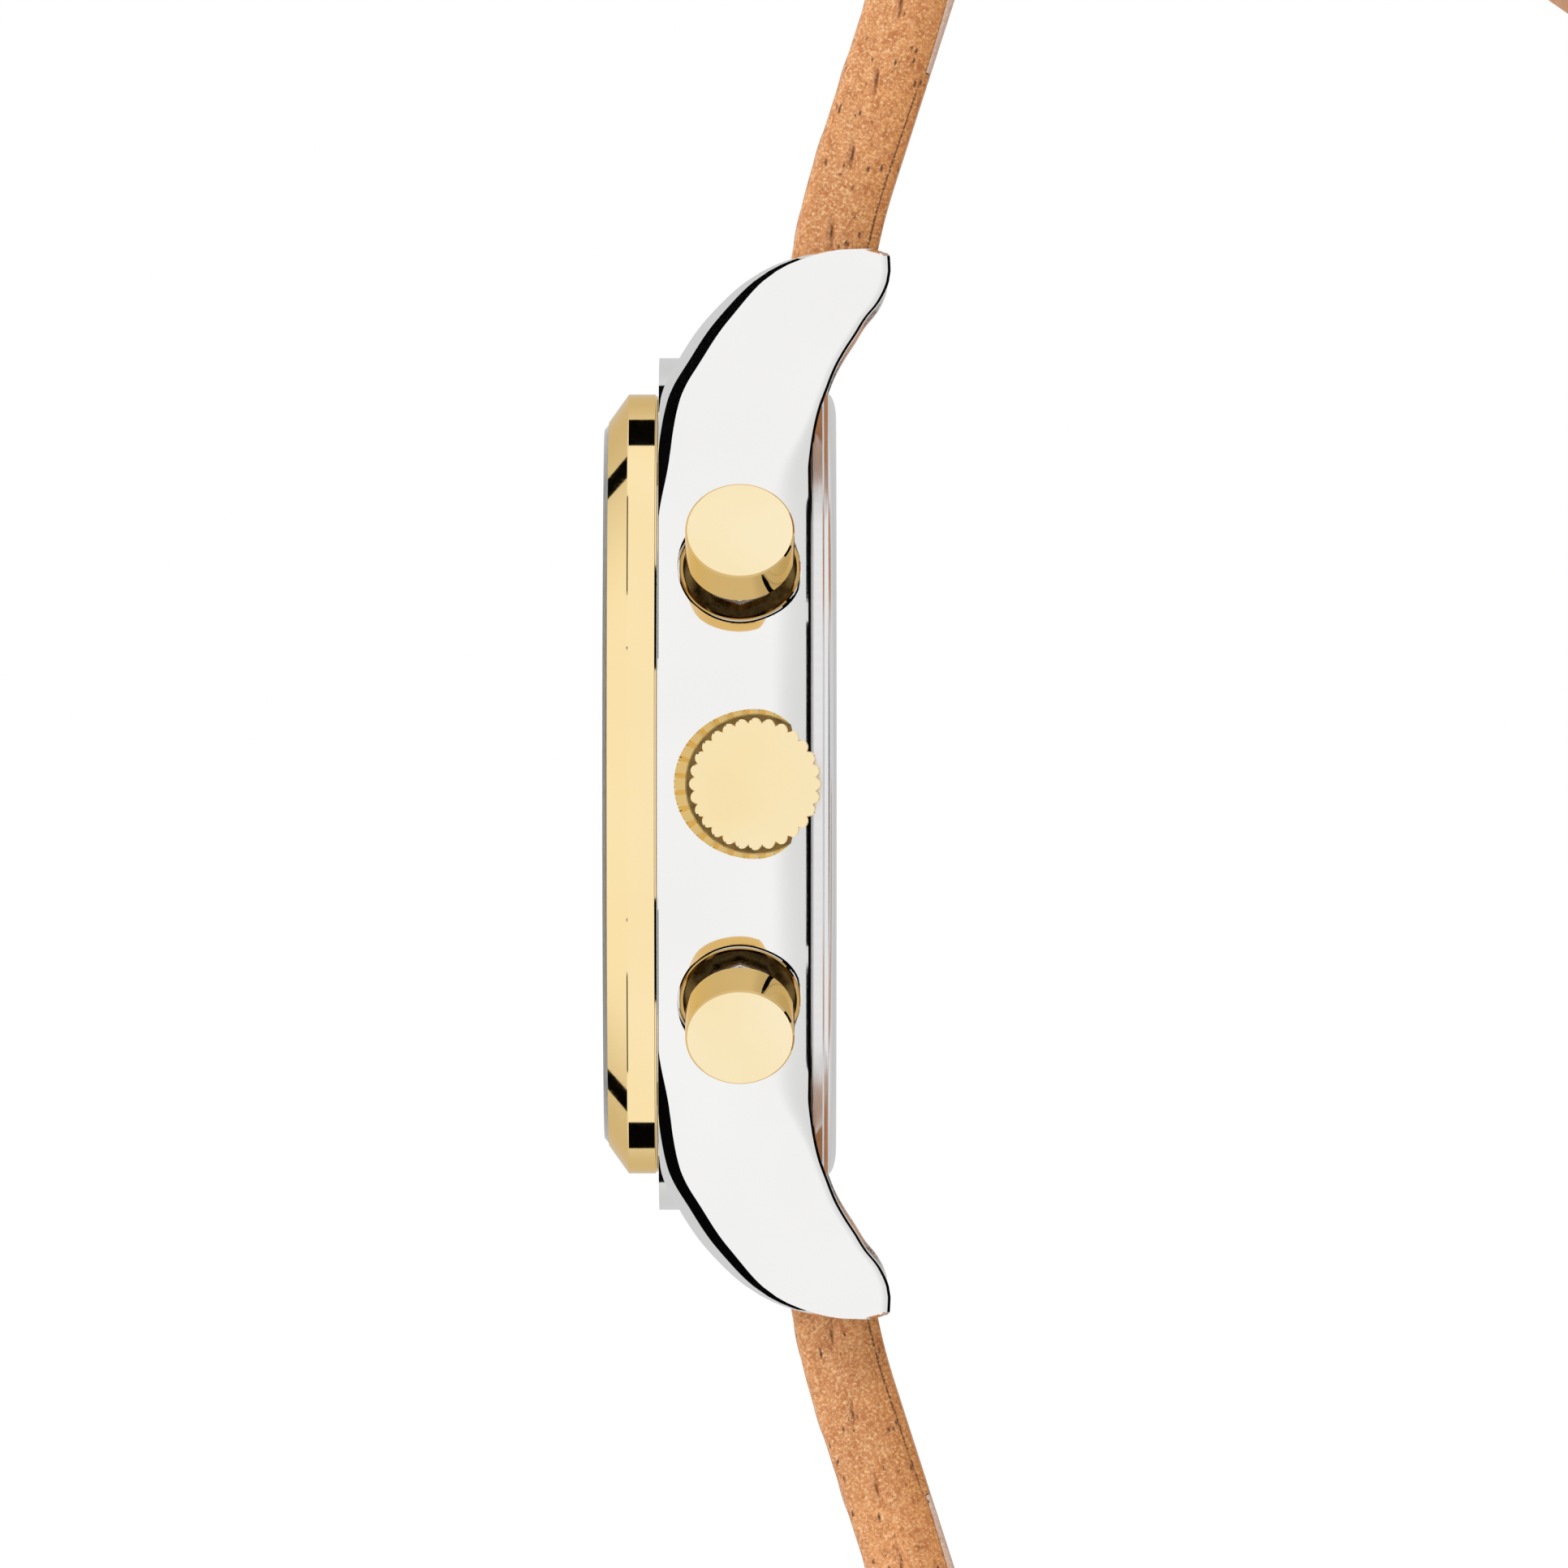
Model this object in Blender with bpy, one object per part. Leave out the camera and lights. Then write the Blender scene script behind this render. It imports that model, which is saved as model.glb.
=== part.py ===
"""Chronograph wristwatch on a leather strap, as an assembly of separate pieces.

The watch is drawn dial-up, as it lies on a bench: x towards 3 o'clock, y towards 12 o'clock and
z out of the dial, with the case back's outer face at z = 0. The empty "watch" then stands it up,
so that in the finished model +X is 3 o'clock, +Z is 12 o'clock and the dial faces -Y.
All sizes are in millimetres.
"""

import math

import bmesh
import bpy
from mathutils import Matrix

for leftover in list(bpy.data.objects):
    bpy.data.objects.remove(leftover, do_unlink=True)

MM = 0.001
QUARTER = math.pi / 2
SIDE_TURN = (QUARTER, 0, QUARTER)  # a plate drawn in (12 o'clock, height), extruded along 3 o'clock
CROSS_TURN = (0, QUARTER, 0)  # a turned piece whose axis points to 3 o'clock

# ---- facets
BIG_ROUND = 32  # sides of a full turn
MIDDLE_ROUND = 20
SMALL_ROUND = 16
TINY_ROUND = 12

# ---- clearances
SEAT = 0.05  # between two pieces that rest on each other
LOOSE = 0.1  # round a piece dropped into its pocket
RUNNING = 0.05  # round a shaft, on the radius

# ---- case: heights from the case back's face
case_radius = 21.0
case_bottom = 1.42
case_top = 8.7
lug_gap = 20.0  # the strap's nominal width
lug_length = 5.1  # from the round band to the lugs' tips
lug_wall = 4.0  # at the tips
movement_bore = 17.0  # radius
neck_wall = 0.6
neck_height = 0.6
bar_inset = 2.4  # lug tip to spring bar
bar_height = 0.5
bar_radius = 0.9
bar_tip_radius = 0.5
bar_tip_length = 1.2

# ---- bezel, crystal and case back
bezel_set_in = 1.8  # from the round band to the bezel's flank
bezel_flank = 1.5
bezel_slope = 1.0
crystal_ledge = 0.75  # how far the crystal reaches past the bore
crystal_thickness = 1.35
crystal_proud = 0.2
crystal_gasket_height = 0.2
back_set_in = 1.1  # from the round band to the case back's rim
back_step_width = 0.6
back_step = 0.6
back_thickness = 1.2
back_spigot_wall = 0.7
back_spigot_height = 1.4
gasket_width = 0.6
gasket_height = 0.45

# ---- crown and pushers: distances along their axes are from the watch's centre
crown_height = 3.95
crown_radius = 3.2
crown_teeth = 28
crown_tooth_depth = 0.2
crown_length = 4.0
crown_recess_depth = 0.6
crown_floor_gap = 0.2
crown_mouth_gap = 0.15
crown_face_slope = 1.25
crown_face_set_in = 0.25
stem_radius = 0.6
stem_inner_end = 9.5
tube_wall = 0.65
crown_travel = 1.2
pusher_angle = math.radians(30)
pusher_height = 4.7
pusher_cap_radius = 2.65
pusher_stand = 1.35  # from the round band to the cap
pusher_cap_length = 2.25
pusher_stem_radius = 1.2
pusher_travel = 1.0
pusher_recess_depth = 1.1
pusher_cup_floor = 0.3
pusher_cup_wall = 0.25
spring_wire = 0.1  # radius
clip_thickness = 0.3
clip_width = 0.5

# ---- dial, hands and movement
dial_height = 7.2
dial_thickness = 0.4
flange_gap = 0.15
holder_wall = 1.6
holder_bottom = 2.0
plate_bottom = 5.6
plate_top = 6.9
bridge_set_in = 0.7  # from the mainplate's rim
bridge_bottom = 2.4
bridge_top = 3.2
counter_distance = 7.6
arbor_radius = 0.18
balance_place = (-5.5, -9.8)
balance_radius = 3.4
cock_foot_place = (-1.6, -13.0)
pillar_places = [(10.0, 7.0), (-10.0, 7.0), (3.5, -12.0)]
pillar_radius = 1.0
screw_radius = 0.4
screw_head_radius = 0.9
screw_head_height = 0.4

# ---- strap: lengths run along its middle line from the spring bar
strap_side_gap = 0.2
strap_end_width = 18.0
strap_thickness = 4.1
strap_thin = 2.6
lining_thickness = 0.8
lining_start = 12.0
buckle_side_straight = 30.0
tail_side_straight = 41.5
tail_point = 9.0
hole_radius = 0.9
hole_pitch = 6.0
hole_count = 7
first_hole_from_tip = 18.0
keeper_width = 5.0
keeper_wall = 1.1
fixed_keeper_from_bar = 7.8
free_keeper_from_bar = 17.3
buckle_bar_radius = 0.75
buckle_length = 9.5
buckle_arm = 1.8
buckle_half_thickness = 1.0
tang_half_width = 1.1

# ---- what follows from those sizes
lug_reach = case_radius + lug_length
lug_tip_half_width = lug_gap / 2 + lug_wall
bar_place = lug_reach - bar_inset
bezel_radius = case_radius - bezel_set_in
bezel_edge = case_top + bezel_flank
bezel_top = bezel_edge + bezel_slope
crystal_radius = movement_bore + crystal_ledge
crystal_top = bezel_top + crystal_proud
back_rim_radius = case_radius - back_set_in
back_step_radius = back_rim_radius - back_step_width
crown_recess_floor = case_radius - crown_recess_depth
crown_inner_face = crown_recess_floor + crown_floor_gap
crown_outer_face = crown_inner_face + crown_length
pusher_recess_floor = case_radius - pusher_recess_depth
pusher_inner_face = case_radius + pusher_stand
pusher_outer_face = pusher_inner_face + pusher_cap_length
neck_radius = movement_bore + neck_wall
neck_top = case_top + neck_height
stem_tube_bore = stem_radius + RUNNING
tube_radius = stem_tube_bore + tube_wall
dial_top = dial_height + dial_thickness
crystal_bottom = crystal_top - crystal_thickness
flange_top = crystal_bottom - flange_gap
holder_inner_radius = movement_bore - LOOSE - holder_wall
plate_radius = holder_inner_radius - LOOSE
bridge_radius = plate_radius - bridge_set_in
strap_half_width = lug_gap / 2 - strap_side_gap
buckle_half_gap = strap_end_width / 2 + 0.4


# ---------------------------------------------------------------- materials
def material(name, colour, metallic, roughness):
    made = bpy.data.materials.new(name)
    made.use_nodes = True
    shader = made.node_tree.nodes["Principled BSDF"]
    shader.inputs["Base Color"].default_value = (*colour, 1)
    shader.inputs["Metallic"].default_value = metallic
    shader.inputs["Roughness"].default_value = roughness
    return made


STEEL = material("polished_steel", (0.72, 0.72, 0.73), 1, 0.1)
GOLD = material("polished_gold", (0.90, 0.66, 0.36), 1, 0.12)
BRASS = material("brass", (0.80, 0.62, 0.30), 1, 0.3)
PLATE = material("plated_movement", (0.75, 0.74, 0.70), 1, 0.35)
RUBBER = material("rubber", (0.03, 0.03, 0.03), 0, 0.7)
GLASS = material("crystal", (0.95, 0.97, 1.0), 0, 0.03)
DIAL = material("dial_white", (0.85, 0.84, 0.80), 0, 0.4)
LEATHER = material("tan_leather", (0.62, 0.32, 0.12), 0, 0.7)
LINING = material("strap_lining", (0.58, 0.44, 0.38), 0, 0.75)


# ---------------------------------------------------------------- mesh helpers
def empty(name, parent=None, place=(0, 0, 0), turn=(0, 0, 0)):
    made = bpy.data.objects.new(name, None)
    made.parent = parent
    made.location = [value * MM for value in place]
    made.rotation_euler = turn
    bpy.context.scene.collection.objects.link(made)
    return made


def add_object(name, shape, finish, parent, place=(0, 0, 0), turn=(0, 0, 0)):
    """Turn a bmesh drawn in millimetres into a placed object. A cutter has no finish."""
    bmesh.ops.recalc_face_normals(shape, faces=shape.faces)
    bmesh.ops.scale(shape, vec=(MM, MM, MM), verts=shape.verts)
    mesh = bpy.data.meshes.new(name)
    shape.to_mesh(mesh)
    shape.free()
    mesh.shade_smooth()
    mesh.set_sharp_from_angle(angle=math.radians(35))
    made = bpy.data.objects.new(name, mesh)
    made.parent = parent
    made.location = [value * MM for value in place]
    made.rotation_euler = turn
    bpy.context.scene.collection.objects.link(made)
    if finish:
        mesh.materials.append(finish)
    else:
        made.hide_render = True
        made.display_type = "WIRE"
    return made


def combine(target, tool, operation="DIFFERENCE"):
    modifier = target.modifiers.new(tool.name, "BOOLEAN")
    modifier.operation = operation
    modifier.object = tool


def turned(profile, segments=BIG_ROUND, ring=False):
    """Spin (radius, height) points round z. A ring's profile closes on itself, off the axis."""
    shape = bmesh.new()
    points = [shape.verts.new((radius, 0, height)) for radius, height in profile]
    lines = [shape.edges.new(pair) for pair in zip(points, points[1:])]
    if ring:
        lines.append(shape.edges.new((points[-1], points[0])))
    bmesh.ops.spin(shape, geom=points + lines, cent=(0, 0, 0), axis=(0, 0, 1),
                   angle=math.tau, steps=segments, use_merge=True)
    bmesh.ops.remove_doubles(shape, verts=shape.verts, dist=1e-5)
    return shape


def toothed(shape, radius, depth, segments):
    """Pull every other facet corner of a turned rim inwards."""
    for corner in shape.verts:
        reach = math.hypot(corner.co.x, corner.co.y)
        step = round(math.atan2(corner.co.y, corner.co.x) / math.tau * segments)
        if step % 2 and abs(reach - radius) < 1e-3:
            corner.co.x *= 1 - depth / radius
            corner.co.y *= 1 - depth / radius
    return shape


def rod(radius, low, high, segments=SMALL_ROUND):
    shape = bmesh.new()
    middle = Matrix.Translation((0, 0, (low + high) / 2))
    bmesh.ops.create_cone(shape, cap_ends=True, segments=segments, radius1=radius, radius2=radius,
                          depth=high - low, matrix=middle)
    return shape


def sleeve(inner, outer, low, high, segments=SMALL_ROUND):
    return turned([(inner, low), (outer, low), (outer, high), (inner, high)], segments, ring=True)


def plate(outline, low, high):
    shape = bmesh.new()
    face = shape.faces.new([shape.verts.new((x, y, low)) for x, y in outline])
    grown = bmesh.ops.extrude_face_region(shape, geom=[face])["geom"]
    raised = [item for item in grown if isinstance(item, bmesh.types.BMVert)]
    bmesh.ops.translate(shape, verts=raised, vec=(0, 0, high - low))
    return shape


def lofted(rings):
    """Join rings of points, one after another, and close both ends."""
    shape = bmesh.new()
    rows = [[shape.verts.new(point) for point in ring] for ring in rings]
    for row, following in zip(rows, rows[1:]):
        for index in range(len(row)):
            after = (index + 1) % len(row)
            shape.faces.new((row[index], row[after], following[after], following[index]))
    shape.faces.new(rows[0])
    shape.faces.new(rows[-1])
    return shape


def box(low, high):
    (x0, y0, z0), (x1, y1, z1) = low, high
    return plate([(x0, y0), (x1, y0), (x1, y1), (x0, y1)], z0, z1)


def arc(radius, start, end, steps, centre=(0, 0)):
    angles = [start + (end - start) * index / steps for index in range(steps + 1)]
    return [(centre[0] + radius * math.cos(a), centre[1] + radius * math.sin(a)) for a in angles]


def capsule(start, end, radius):
    """Outline of a bar with round ends."""
    heading = math.atan2(end[1] - start[1], end[0] - start[0])
    far = arc(radius, heading - QUARTER, heading + QUARTER, 8, end)
    return far + arc(radius, heading + QUARTER, heading + 3 * QUARTER, 8, start)


def without_repeats(points):
    kept = []
    for point in points:
        if not kept or math.dist(point, kept[-1]) > 1e-6:
            kept.append(point)
    return kept[:-1] if math.dist(kept[0], kept[-1]) < 1e-6 else kept


def both_ways(half):
    """A half outline with x >= 0, and its mirror image."""
    return without_repeats(half + [(-x, y) for x, y in reversed(half)])


# ---------------------------------------------------------------- case
watch = empty("watch", turn=(QUARTER, 0, 0))


def flank_point(share):
    """Plan outline from the round band (0) to the lug's tip (1), as one smooth curve."""
    leave = math.pi / 8
    x0, y0 = case_radius * math.cos(leave), case_radius * math.sin(leave)
    span = lug_reach - y0
    first, last = -math.tan(leave) * span, -0.2 * span
    t = share
    x = ((2 * t**3 - 3 * t**2 + 1) * x0 + (t**3 - 2 * t**2 + t) * first
         + (3 * t**2 - 2 * t**3) * lug_tip_half_width + (t**3 - t**2) * last)
    return x, y0 + span * t


def case_plan():
    inner_angle = math.acos(lug_gap / 2 / case_radius)
    quarter = arc(case_radius, 0, math.pi / 8, 2)
    quarter += [flank_point(step / 5) for step in range(1, 6)]
    quarter += [(lug_gap / 2, lug_reach)] + arc(case_radius, inner_angle, QUARTER, 4)
    top = both_ways(quarter)
    return without_repeats(top + [(x, -y) for x, y in reversed(top)])


def case_side():
    """Side outline: the lugs curve down from the band's top and hook in below the back."""
    top_root, under_root = case_radius - 2.2, case_radius - 5.7
    top_drops = [(0, 0), (0.27, 1.02), (0.48, 2.22), (0.7, 3.86), (0.81, 4.86), (0.86, 5.78),
                 (0.93, 6.9), (0.985, 8.3), (1, 9.6), (1, 10.45), (0.96, 11.3)]
    under_curve = [(0.89, -2.64), (0.84, -2.53), (0.76, -2.1), (0.685, -1.45), (0.546, -0.5),
                   (0.37, 0.4), (0.167, 1.05), (0, case_bottom)]
    half = [(0, case_top)]
    half += [(top_root + share * (lug_reach - top_root), case_top - drop) for share, drop in top_drops]
    half += [(under_root + share * (lug_reach - under_root), height) for share, height in under_curve]
    return both_ways(half + [(0, case_bottom)])


def band_corner():
    """The round band's top edge, which stands clear between the lugs."""
    half_width = lug_gap / 2 + 0.5
    angle = math.acos(half_width / (case_radius - 0.01))
    root = movement_bore - 3
    return [(half_width, root)] + arc(case_radius - 0.01, angle, math.pi - angle, 8) + [(-half_width, root)]


def side_axis(name, height, angle=0):
    """An empty whose z runs outwards from the watch's centre, at the given angle from 3 o'clock."""
    return empty(name, watch, (0, 0, height), (0, QUARTER, angle))


crown_axis = side_axis("crown_axis", crown_height)
pusher_axes = {
    "start": side_axis("start_pusher_axis", pusher_height, pusher_angle),
    "reset": side_axis("reset_pusher_axis", pusher_height, -pusher_angle),
}

groove = (movement_bore + 1.3, movement_bore + 1.3 + gasket_width + 2 * LOOSE)
back_seat = back_thickness + LOOSE
spigot_radius = movement_bore + 1.0
pusher_tube_radius = pusher_stem_radius + RUNNING + 0.45
pusher_recess_radius = pusher_cap_radius + RUNNING + pusher_cup_wall + SEAT


def build_case():
    case = add_object("case_middle", plate(case_plan(), -3.0, case_top + 0.5), STEEL, watch)
    side_mesh = plate(case_side(), -case_radius - 1, case_radius + 1)
    side = add_object("cut_case_side", side_mesh, None, watch, turn=SIDE_TURN)
    combine(case, side, "INTERSECT")
    for name, turn in (("top", 0), ("bottom", math.pi)):
        corner = add_object(f"guide_corner_{name}", plate(band_corner(), 5.0, case_top - 0.01), None,
                            watch, turn=(0, 0, turn))
        combine(case, corner, "UNION")
        half_gap = lug_gap / 2
        under = box((-half_gap, movement_bore - 4, -5), (half_gap, lug_reach + 2, back_seat))
        combine(case, add_object(f"cut_gap_{name}", under, None, watch, turn=(0, 0, turn)))
        hole = rod(bar_tip_radius + RUNNING, -half_gap - bar_tip_length - LOOSE,
                   half_gap + bar_tip_length + LOOSE, TINY_ROUND)
        side_y = bar_place if turn == 0 else -bar_place
        combine(case, add_object(f"cut_bar_hole_{name}", hole, None, watch,
                                 (0, side_y, bar_height), CROSS_TURN))
    combine(case, add_object("guide_neck", rod(neck_radius, 6.0, neck_top, BIG_ROUND), None, watch),
            "UNION")
    cavity = [(0, -5), (back_rim_radius + LOOSE, -5), (back_rim_radius + LOOSE, back_seat),
              (groove[1], back_seat), (groove[1], back_seat + gasket_height + SEAT),
              (groove[0], back_seat + gasket_height + SEAT), (groove[0], back_seat),
              (spigot_radius + LOOSE, back_seat),
              (spigot_radius + LOOSE, back_thickness + back_spigot_height + LOOSE),
              (movement_bore, back_thickness + back_spigot_height + LOOSE),
              (movement_bore, neck_top + 1), (0, neck_top + 1)]
    combine(case, add_object("cut_cavity", turned(cavity), None, watch))
    mouth = crown_radius + crown_mouth_gap
    recess = [(0, 15), (tube_radius + SEAT, 15), (tube_radius + SEAT, crown_recess_floor),
              (mouth, crown_recess_floor), (mouth + 2, crown_recess_floor + 2), (0, crown_recess_floor + 2)]
    combine(case, add_object("cut_crown_recess", turned(recess, MIDDLE_ROUND), None, crown_axis))
    seat = [(0, 15), (pusher_tube_radius + SEAT, 15), (pusher_tube_radius + SEAT, pusher_recess_floor),
            (pusher_recess_radius, pusher_recess_floor), (pusher_recess_radius, case_radius + 2),
            (0, case_radius + 2)]
    for name, axis in pusher_axes.items():
        combine(case, add_object(f"cut_{name}_recess", turned(seat, MIDDLE_ROUND), None, axis))


def build_bezel_and_crystal():
    pocket = crystal_radius + SEAT
    ledge = crystal_bottom - SEAT - crystal_gasket_height - SEAT
    lip = movement_bore + SEAT
    bezel = [(bezel_radius, case_top + SEAT), (bezel_radius, bezel_edge), (pocket, bezel_top),
             (pocket, ledge), (lip, ledge), (lip, neck_top + LOOSE), (neck_radius + SEAT, neck_top + LOOSE),
             (neck_radius + SEAT, case_top + SEAT)]
    add_object("bezel", turned(bezel, ring=True), GOLD, watch)
    seal = sleeve(lip + SEAT, pocket - LOOSE, ledge + SEAT, ledge + SEAT + crystal_gasket_height, BIG_ROUND)
    add_object("crystal_gasket", seal, RUBBER, watch)
    glass = [(0, crystal_bottom), (crystal_radius, crystal_bottom), (crystal_radius, crystal_top - 0.2),
             (crystal_radius - 0.2, crystal_top), (0, crystal_top)]
    add_object("crystal", turned(glass), GLASS, watch)


def build_case_back():
    spigot_inner = spigot_radius - back_spigot_wall
    spigot_top = back_thickness + back_spigot_height
    profile = [(0, 0), (back_step_radius - 0.2, 0), (back_step_radius, 0.2), (back_step_radius, back_step),
               (back_rim_radius, back_step), (back_rim_radius, back_thickness),
               (spigot_radius, back_thickness), (spigot_radius, spigot_top), (spigot_inner, spigot_top),
               (spigot_inner, back_thickness), (0, back_thickness)]
    add_object("case_back", turned(profile), STEEL, watch)
    seal = sleeve(groove[0] + LOOSE, groove[1] - LOOSE, back_thickness + SEAT,
                  back_thickness + SEAT + gasket_height, BIG_ROUND)
    add_object("case_back_gasket", seal, RUBBER, watch)


# ---------------------------------------------------------------- crown and pushers
def build_crown():
    tube_outer_end = crown_outer_face - 1.6
    bore = tube_radius + RUNNING
    pocket = bore + 0.6
    pocket_end = crown_inner_face + 1.6
    stem_end = crown_outer_face - 0.6
    chamfer = crown_radius - crown_face_set_in
    rim = []
    for step in range(2 * crown_teeth):
        reach = crown_radius - (crown_tooth_depth if step % 2 else 0)
        angle = math.pi * step / crown_teeth
        rim.append((reach * math.cos(angle), reach * math.sin(angle)))
    crown = add_object("crown", plate(rim, crown_inner_face, crown_outer_face), GOLD, crown_axis)
    face = [(0, crown_inner_face - 1), (crown_radius + 1, crown_inner_face - 1),
            (crown_radius + 1, crown_outer_face - crown_face_slope), (chamfer, crown_outer_face),
            (0, crown_outer_face)]
    combine(crown, add_object("cut_crown_edge", turned(face, MIDDLE_ROUND), None, crown_axis), "INTERSECT")
    inside = [(0, crown_inner_face - 1), (pocket, crown_inner_face - 1), (pocket, pocket_end),
              (bore, pocket_end), (bore, tube_outer_end + LOOSE),
              (stem_radius + SEAT, tube_outer_end + LOOSE), (stem_radius + SEAT, stem_end + SEAT),
              (0, stem_end + SEAT)]
    combine(crown, add_object("cut_crown_bore", turned(inside, SMALL_ROUND), None, crown_axis))
    tube = sleeve(stem_tube_bore, tube_radius, movement_bore, tube_outer_end)
    add_object("crown_tube", tube, STEEL, crown_axis)
    seal = sleeve(bore, pocket - SEAT, pocket_end - 0.9, pocket_end - SEAT)
    add_object("crown_gasket", seal, RUBBER, crown_axis)
    add_object("winding_stem", rod(stem_radius, stem_inner_end, stem_end), STEEL, crown_axis)


def coil(name, radius, wire, low, high, turns, finish, parent):
    """A helical spring: a bevelled curve with filled ends."""
    curve = bpy.data.curves.new(name, "CURVE")
    curve.dimensions = "3D"
    curve.bevel_depth = wire * MM
    curve.bevel_resolution = 1
    curve.use_fill_caps = True
    steps = int(turns * 8)
    line = curve.splines.new("POLY")
    line.points.add(steps)
    for index, point in enumerate(line.points):
        angle = math.tau * turns * index / steps
        height = low + wire + (high - low - 2 * wire) * index / steps
        point.co = (radius * math.cos(angle) * MM, radius * math.sin(angle) * MM, height * MM, 1)
    curve.materials.append(finish)
    made = bpy.data.objects.new(name, curve)
    made.parent = parent
    bpy.context.scene.collection.objects.link(made)


def build_pusher(name, axis):
    stem_end = movement_bore - SEAT - clip_thickness - 0.3
    neck = pusher_stem_radius - 0.35
    clip_low = movement_bore - SEAT - clip_thickness
    profile = [(0, stem_end), (pusher_stem_radius, stem_end), (pusher_stem_radius, clip_low - SEAT),
               (neck, clip_low - SEAT), (neck, movement_bore), (pusher_stem_radius, movement_bore),
               (pusher_stem_radius, pusher_inner_face), (pusher_cap_radius, pusher_inner_face),
               (pusher_cap_radius, pusher_outer_face - 0.2), (pusher_cap_radius - 0.2, pusher_outer_face),
               (0, pusher_outer_face)]
    add_object(f"{name}_pusher", turned(profile, MIDDLE_ROUND), GOLD, axis)
    cup_radius = pusher_recess_radius - SEAT
    bore = pusher_stem_radius + RUNNING
    cup_floor = pusher_recess_floor + SEAT
    spring_seat = cup_floor + pusher_cup_floor
    cup = [(bore, movement_bore), (pusher_tube_radius, movement_bore), (pusher_tube_radius, cup_floor),
           (cup_radius, cup_floor), (cup_radius, case_radius),
           (pusher_cap_radius + RUNNING, case_radius), (pusher_cap_radius + RUNNING, spring_seat),
           (bore, spring_seat)]
    add_object(f"{name}_pusher_tube", turned(cup, MIDDLE_ROUND, ring=True), GOLD, axis)
    pressed_face = pusher_inner_face - pusher_travel
    coil(f"{name}_pusher_spring", pusher_stem_radius + 0.6, spring_wire, spring_seat + SEAT,
         pressed_face - SEAT, 2.5, STEEL, axis)
    clip = sleeve(neck + SEAT, neck + SEAT + clip_width, clip_low, clip_low + clip_thickness)
    add_object(f"{name}_pusher_clip", clip, STEEL, axis)


# ---------------------------------------------------------------- dial side
def hand_outline(length, tail, half_width, hub):
    """A tapering hand with a round hub, pointing to +y."""
    reach = math.acos(half_width / hub)
    side = [(half_width, -tail)] + arc(hub, -reach, reach, 6) + [(half_width * 0.45, length)]
    return both_ways(side)


def clock_turn(share):
    """Rotation that points a hand at a share of a full turn after 12."""
    return (0, 0, -math.tau * share)


def build_hand(name, place, share, size, height, hole, finish=GOLD):
    length, tail, half_width, hub, thickness = size
    shape = plate(hand_outline(length, tail, half_width, hub), height, height + thickness)
    hand = add_object(name, shape, finish, watch, (*place, 0), clock_turn(share))
    bore = add_object(f"cut_{name}", rod(hole, height - 1, height + 1, TINY_ROUND), None, watch, (*place, 0))
    combine(hand, bore)


chrono_arbor = 0.22
minute_tube = (chrono_arbor + RUNNING, chrono_arbor + RUNNING + 0.2)
hour_tube = (minute_tube[1] + RUNNING, minute_tube[1] + RUNNING + 0.23)
small_seconds_place = (-counter_distance, 0)
minute_counter_place = (counter_distance, 0)
hour_counter_place = (0, -counter_distance)
hour_hand_height = dial_top + 0.38
minute_hand_height = hour_hand_height + 0.37
chrono_hand_height = minute_hand_height + 0.4
counter_hand_height = dial_top + 0.12


def build_dial_side():
    dial = add_object("dial", rod(movement_bore - LOOSE, dial_height, dial_top, BIG_ROUND), DIAL, watch)
    centre = rod(hour_tube[1] + LOOSE, dial_height - 1, dial_top + 1, TINY_ROUND)
    combine(dial, add_object("cut_dial_centre", centre, None, watch))
    for index, place in enumerate((small_seconds_place, minute_counter_place, hour_counter_place)):
        hole = rod(arbor_radius + LOOSE, dial_height - 1, dial_top + 1, TINY_ROUND)
        combine(dial, add_object(f"cut_dial_hole_{index}", hole, None, watch, (*place, 0)))
    ring_radius = movement_bore - SEAT
    flange = [(ring_radius, dial_top + SEAT), (ring_radius, flange_top), (ring_radius - 0.45, flange_top),
              (ring_radius - 0.95, dial_top + SEAT)]
    add_object("dial_flange_ring", turned(flange, ring=True), STEEL, watch)
    build_hand("hour_hand", (0, 0), (10 + 8 / 60) / 12, (movement_bore - 8.4, 1.8, 0.5, 1.3, 0.15),
               hour_hand_height, hour_tube[1] + SEAT)
    build_hand("minute_hand", (0, 0), 8 / 60, (movement_bore - 3.6, 2.2, 0.42, 1.05, 0.15),
               minute_hand_height, minute_tube[1] + SEAT)
    build_hand("chrono_seconds_hand", (0, 0), 0, (movement_bore - 2, 4.2, 0.16, 0.75, 0.12),
               chrono_hand_height, chrono_arbor + SEAT)
    counter_size = (2.9, 0.9, 0.14, 0.5, 0.12)
    for name, place, share in (("small_seconds_hand", small_seconds_place, 36 / 60),
                               ("minute_counter_hand", minute_counter_place, 0),
                               ("hour_counter_hand", hour_counter_place, 0)):
        build_hand(name, place, share, counter_size, counter_hand_height, arbor_radius + SEAT)


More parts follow.
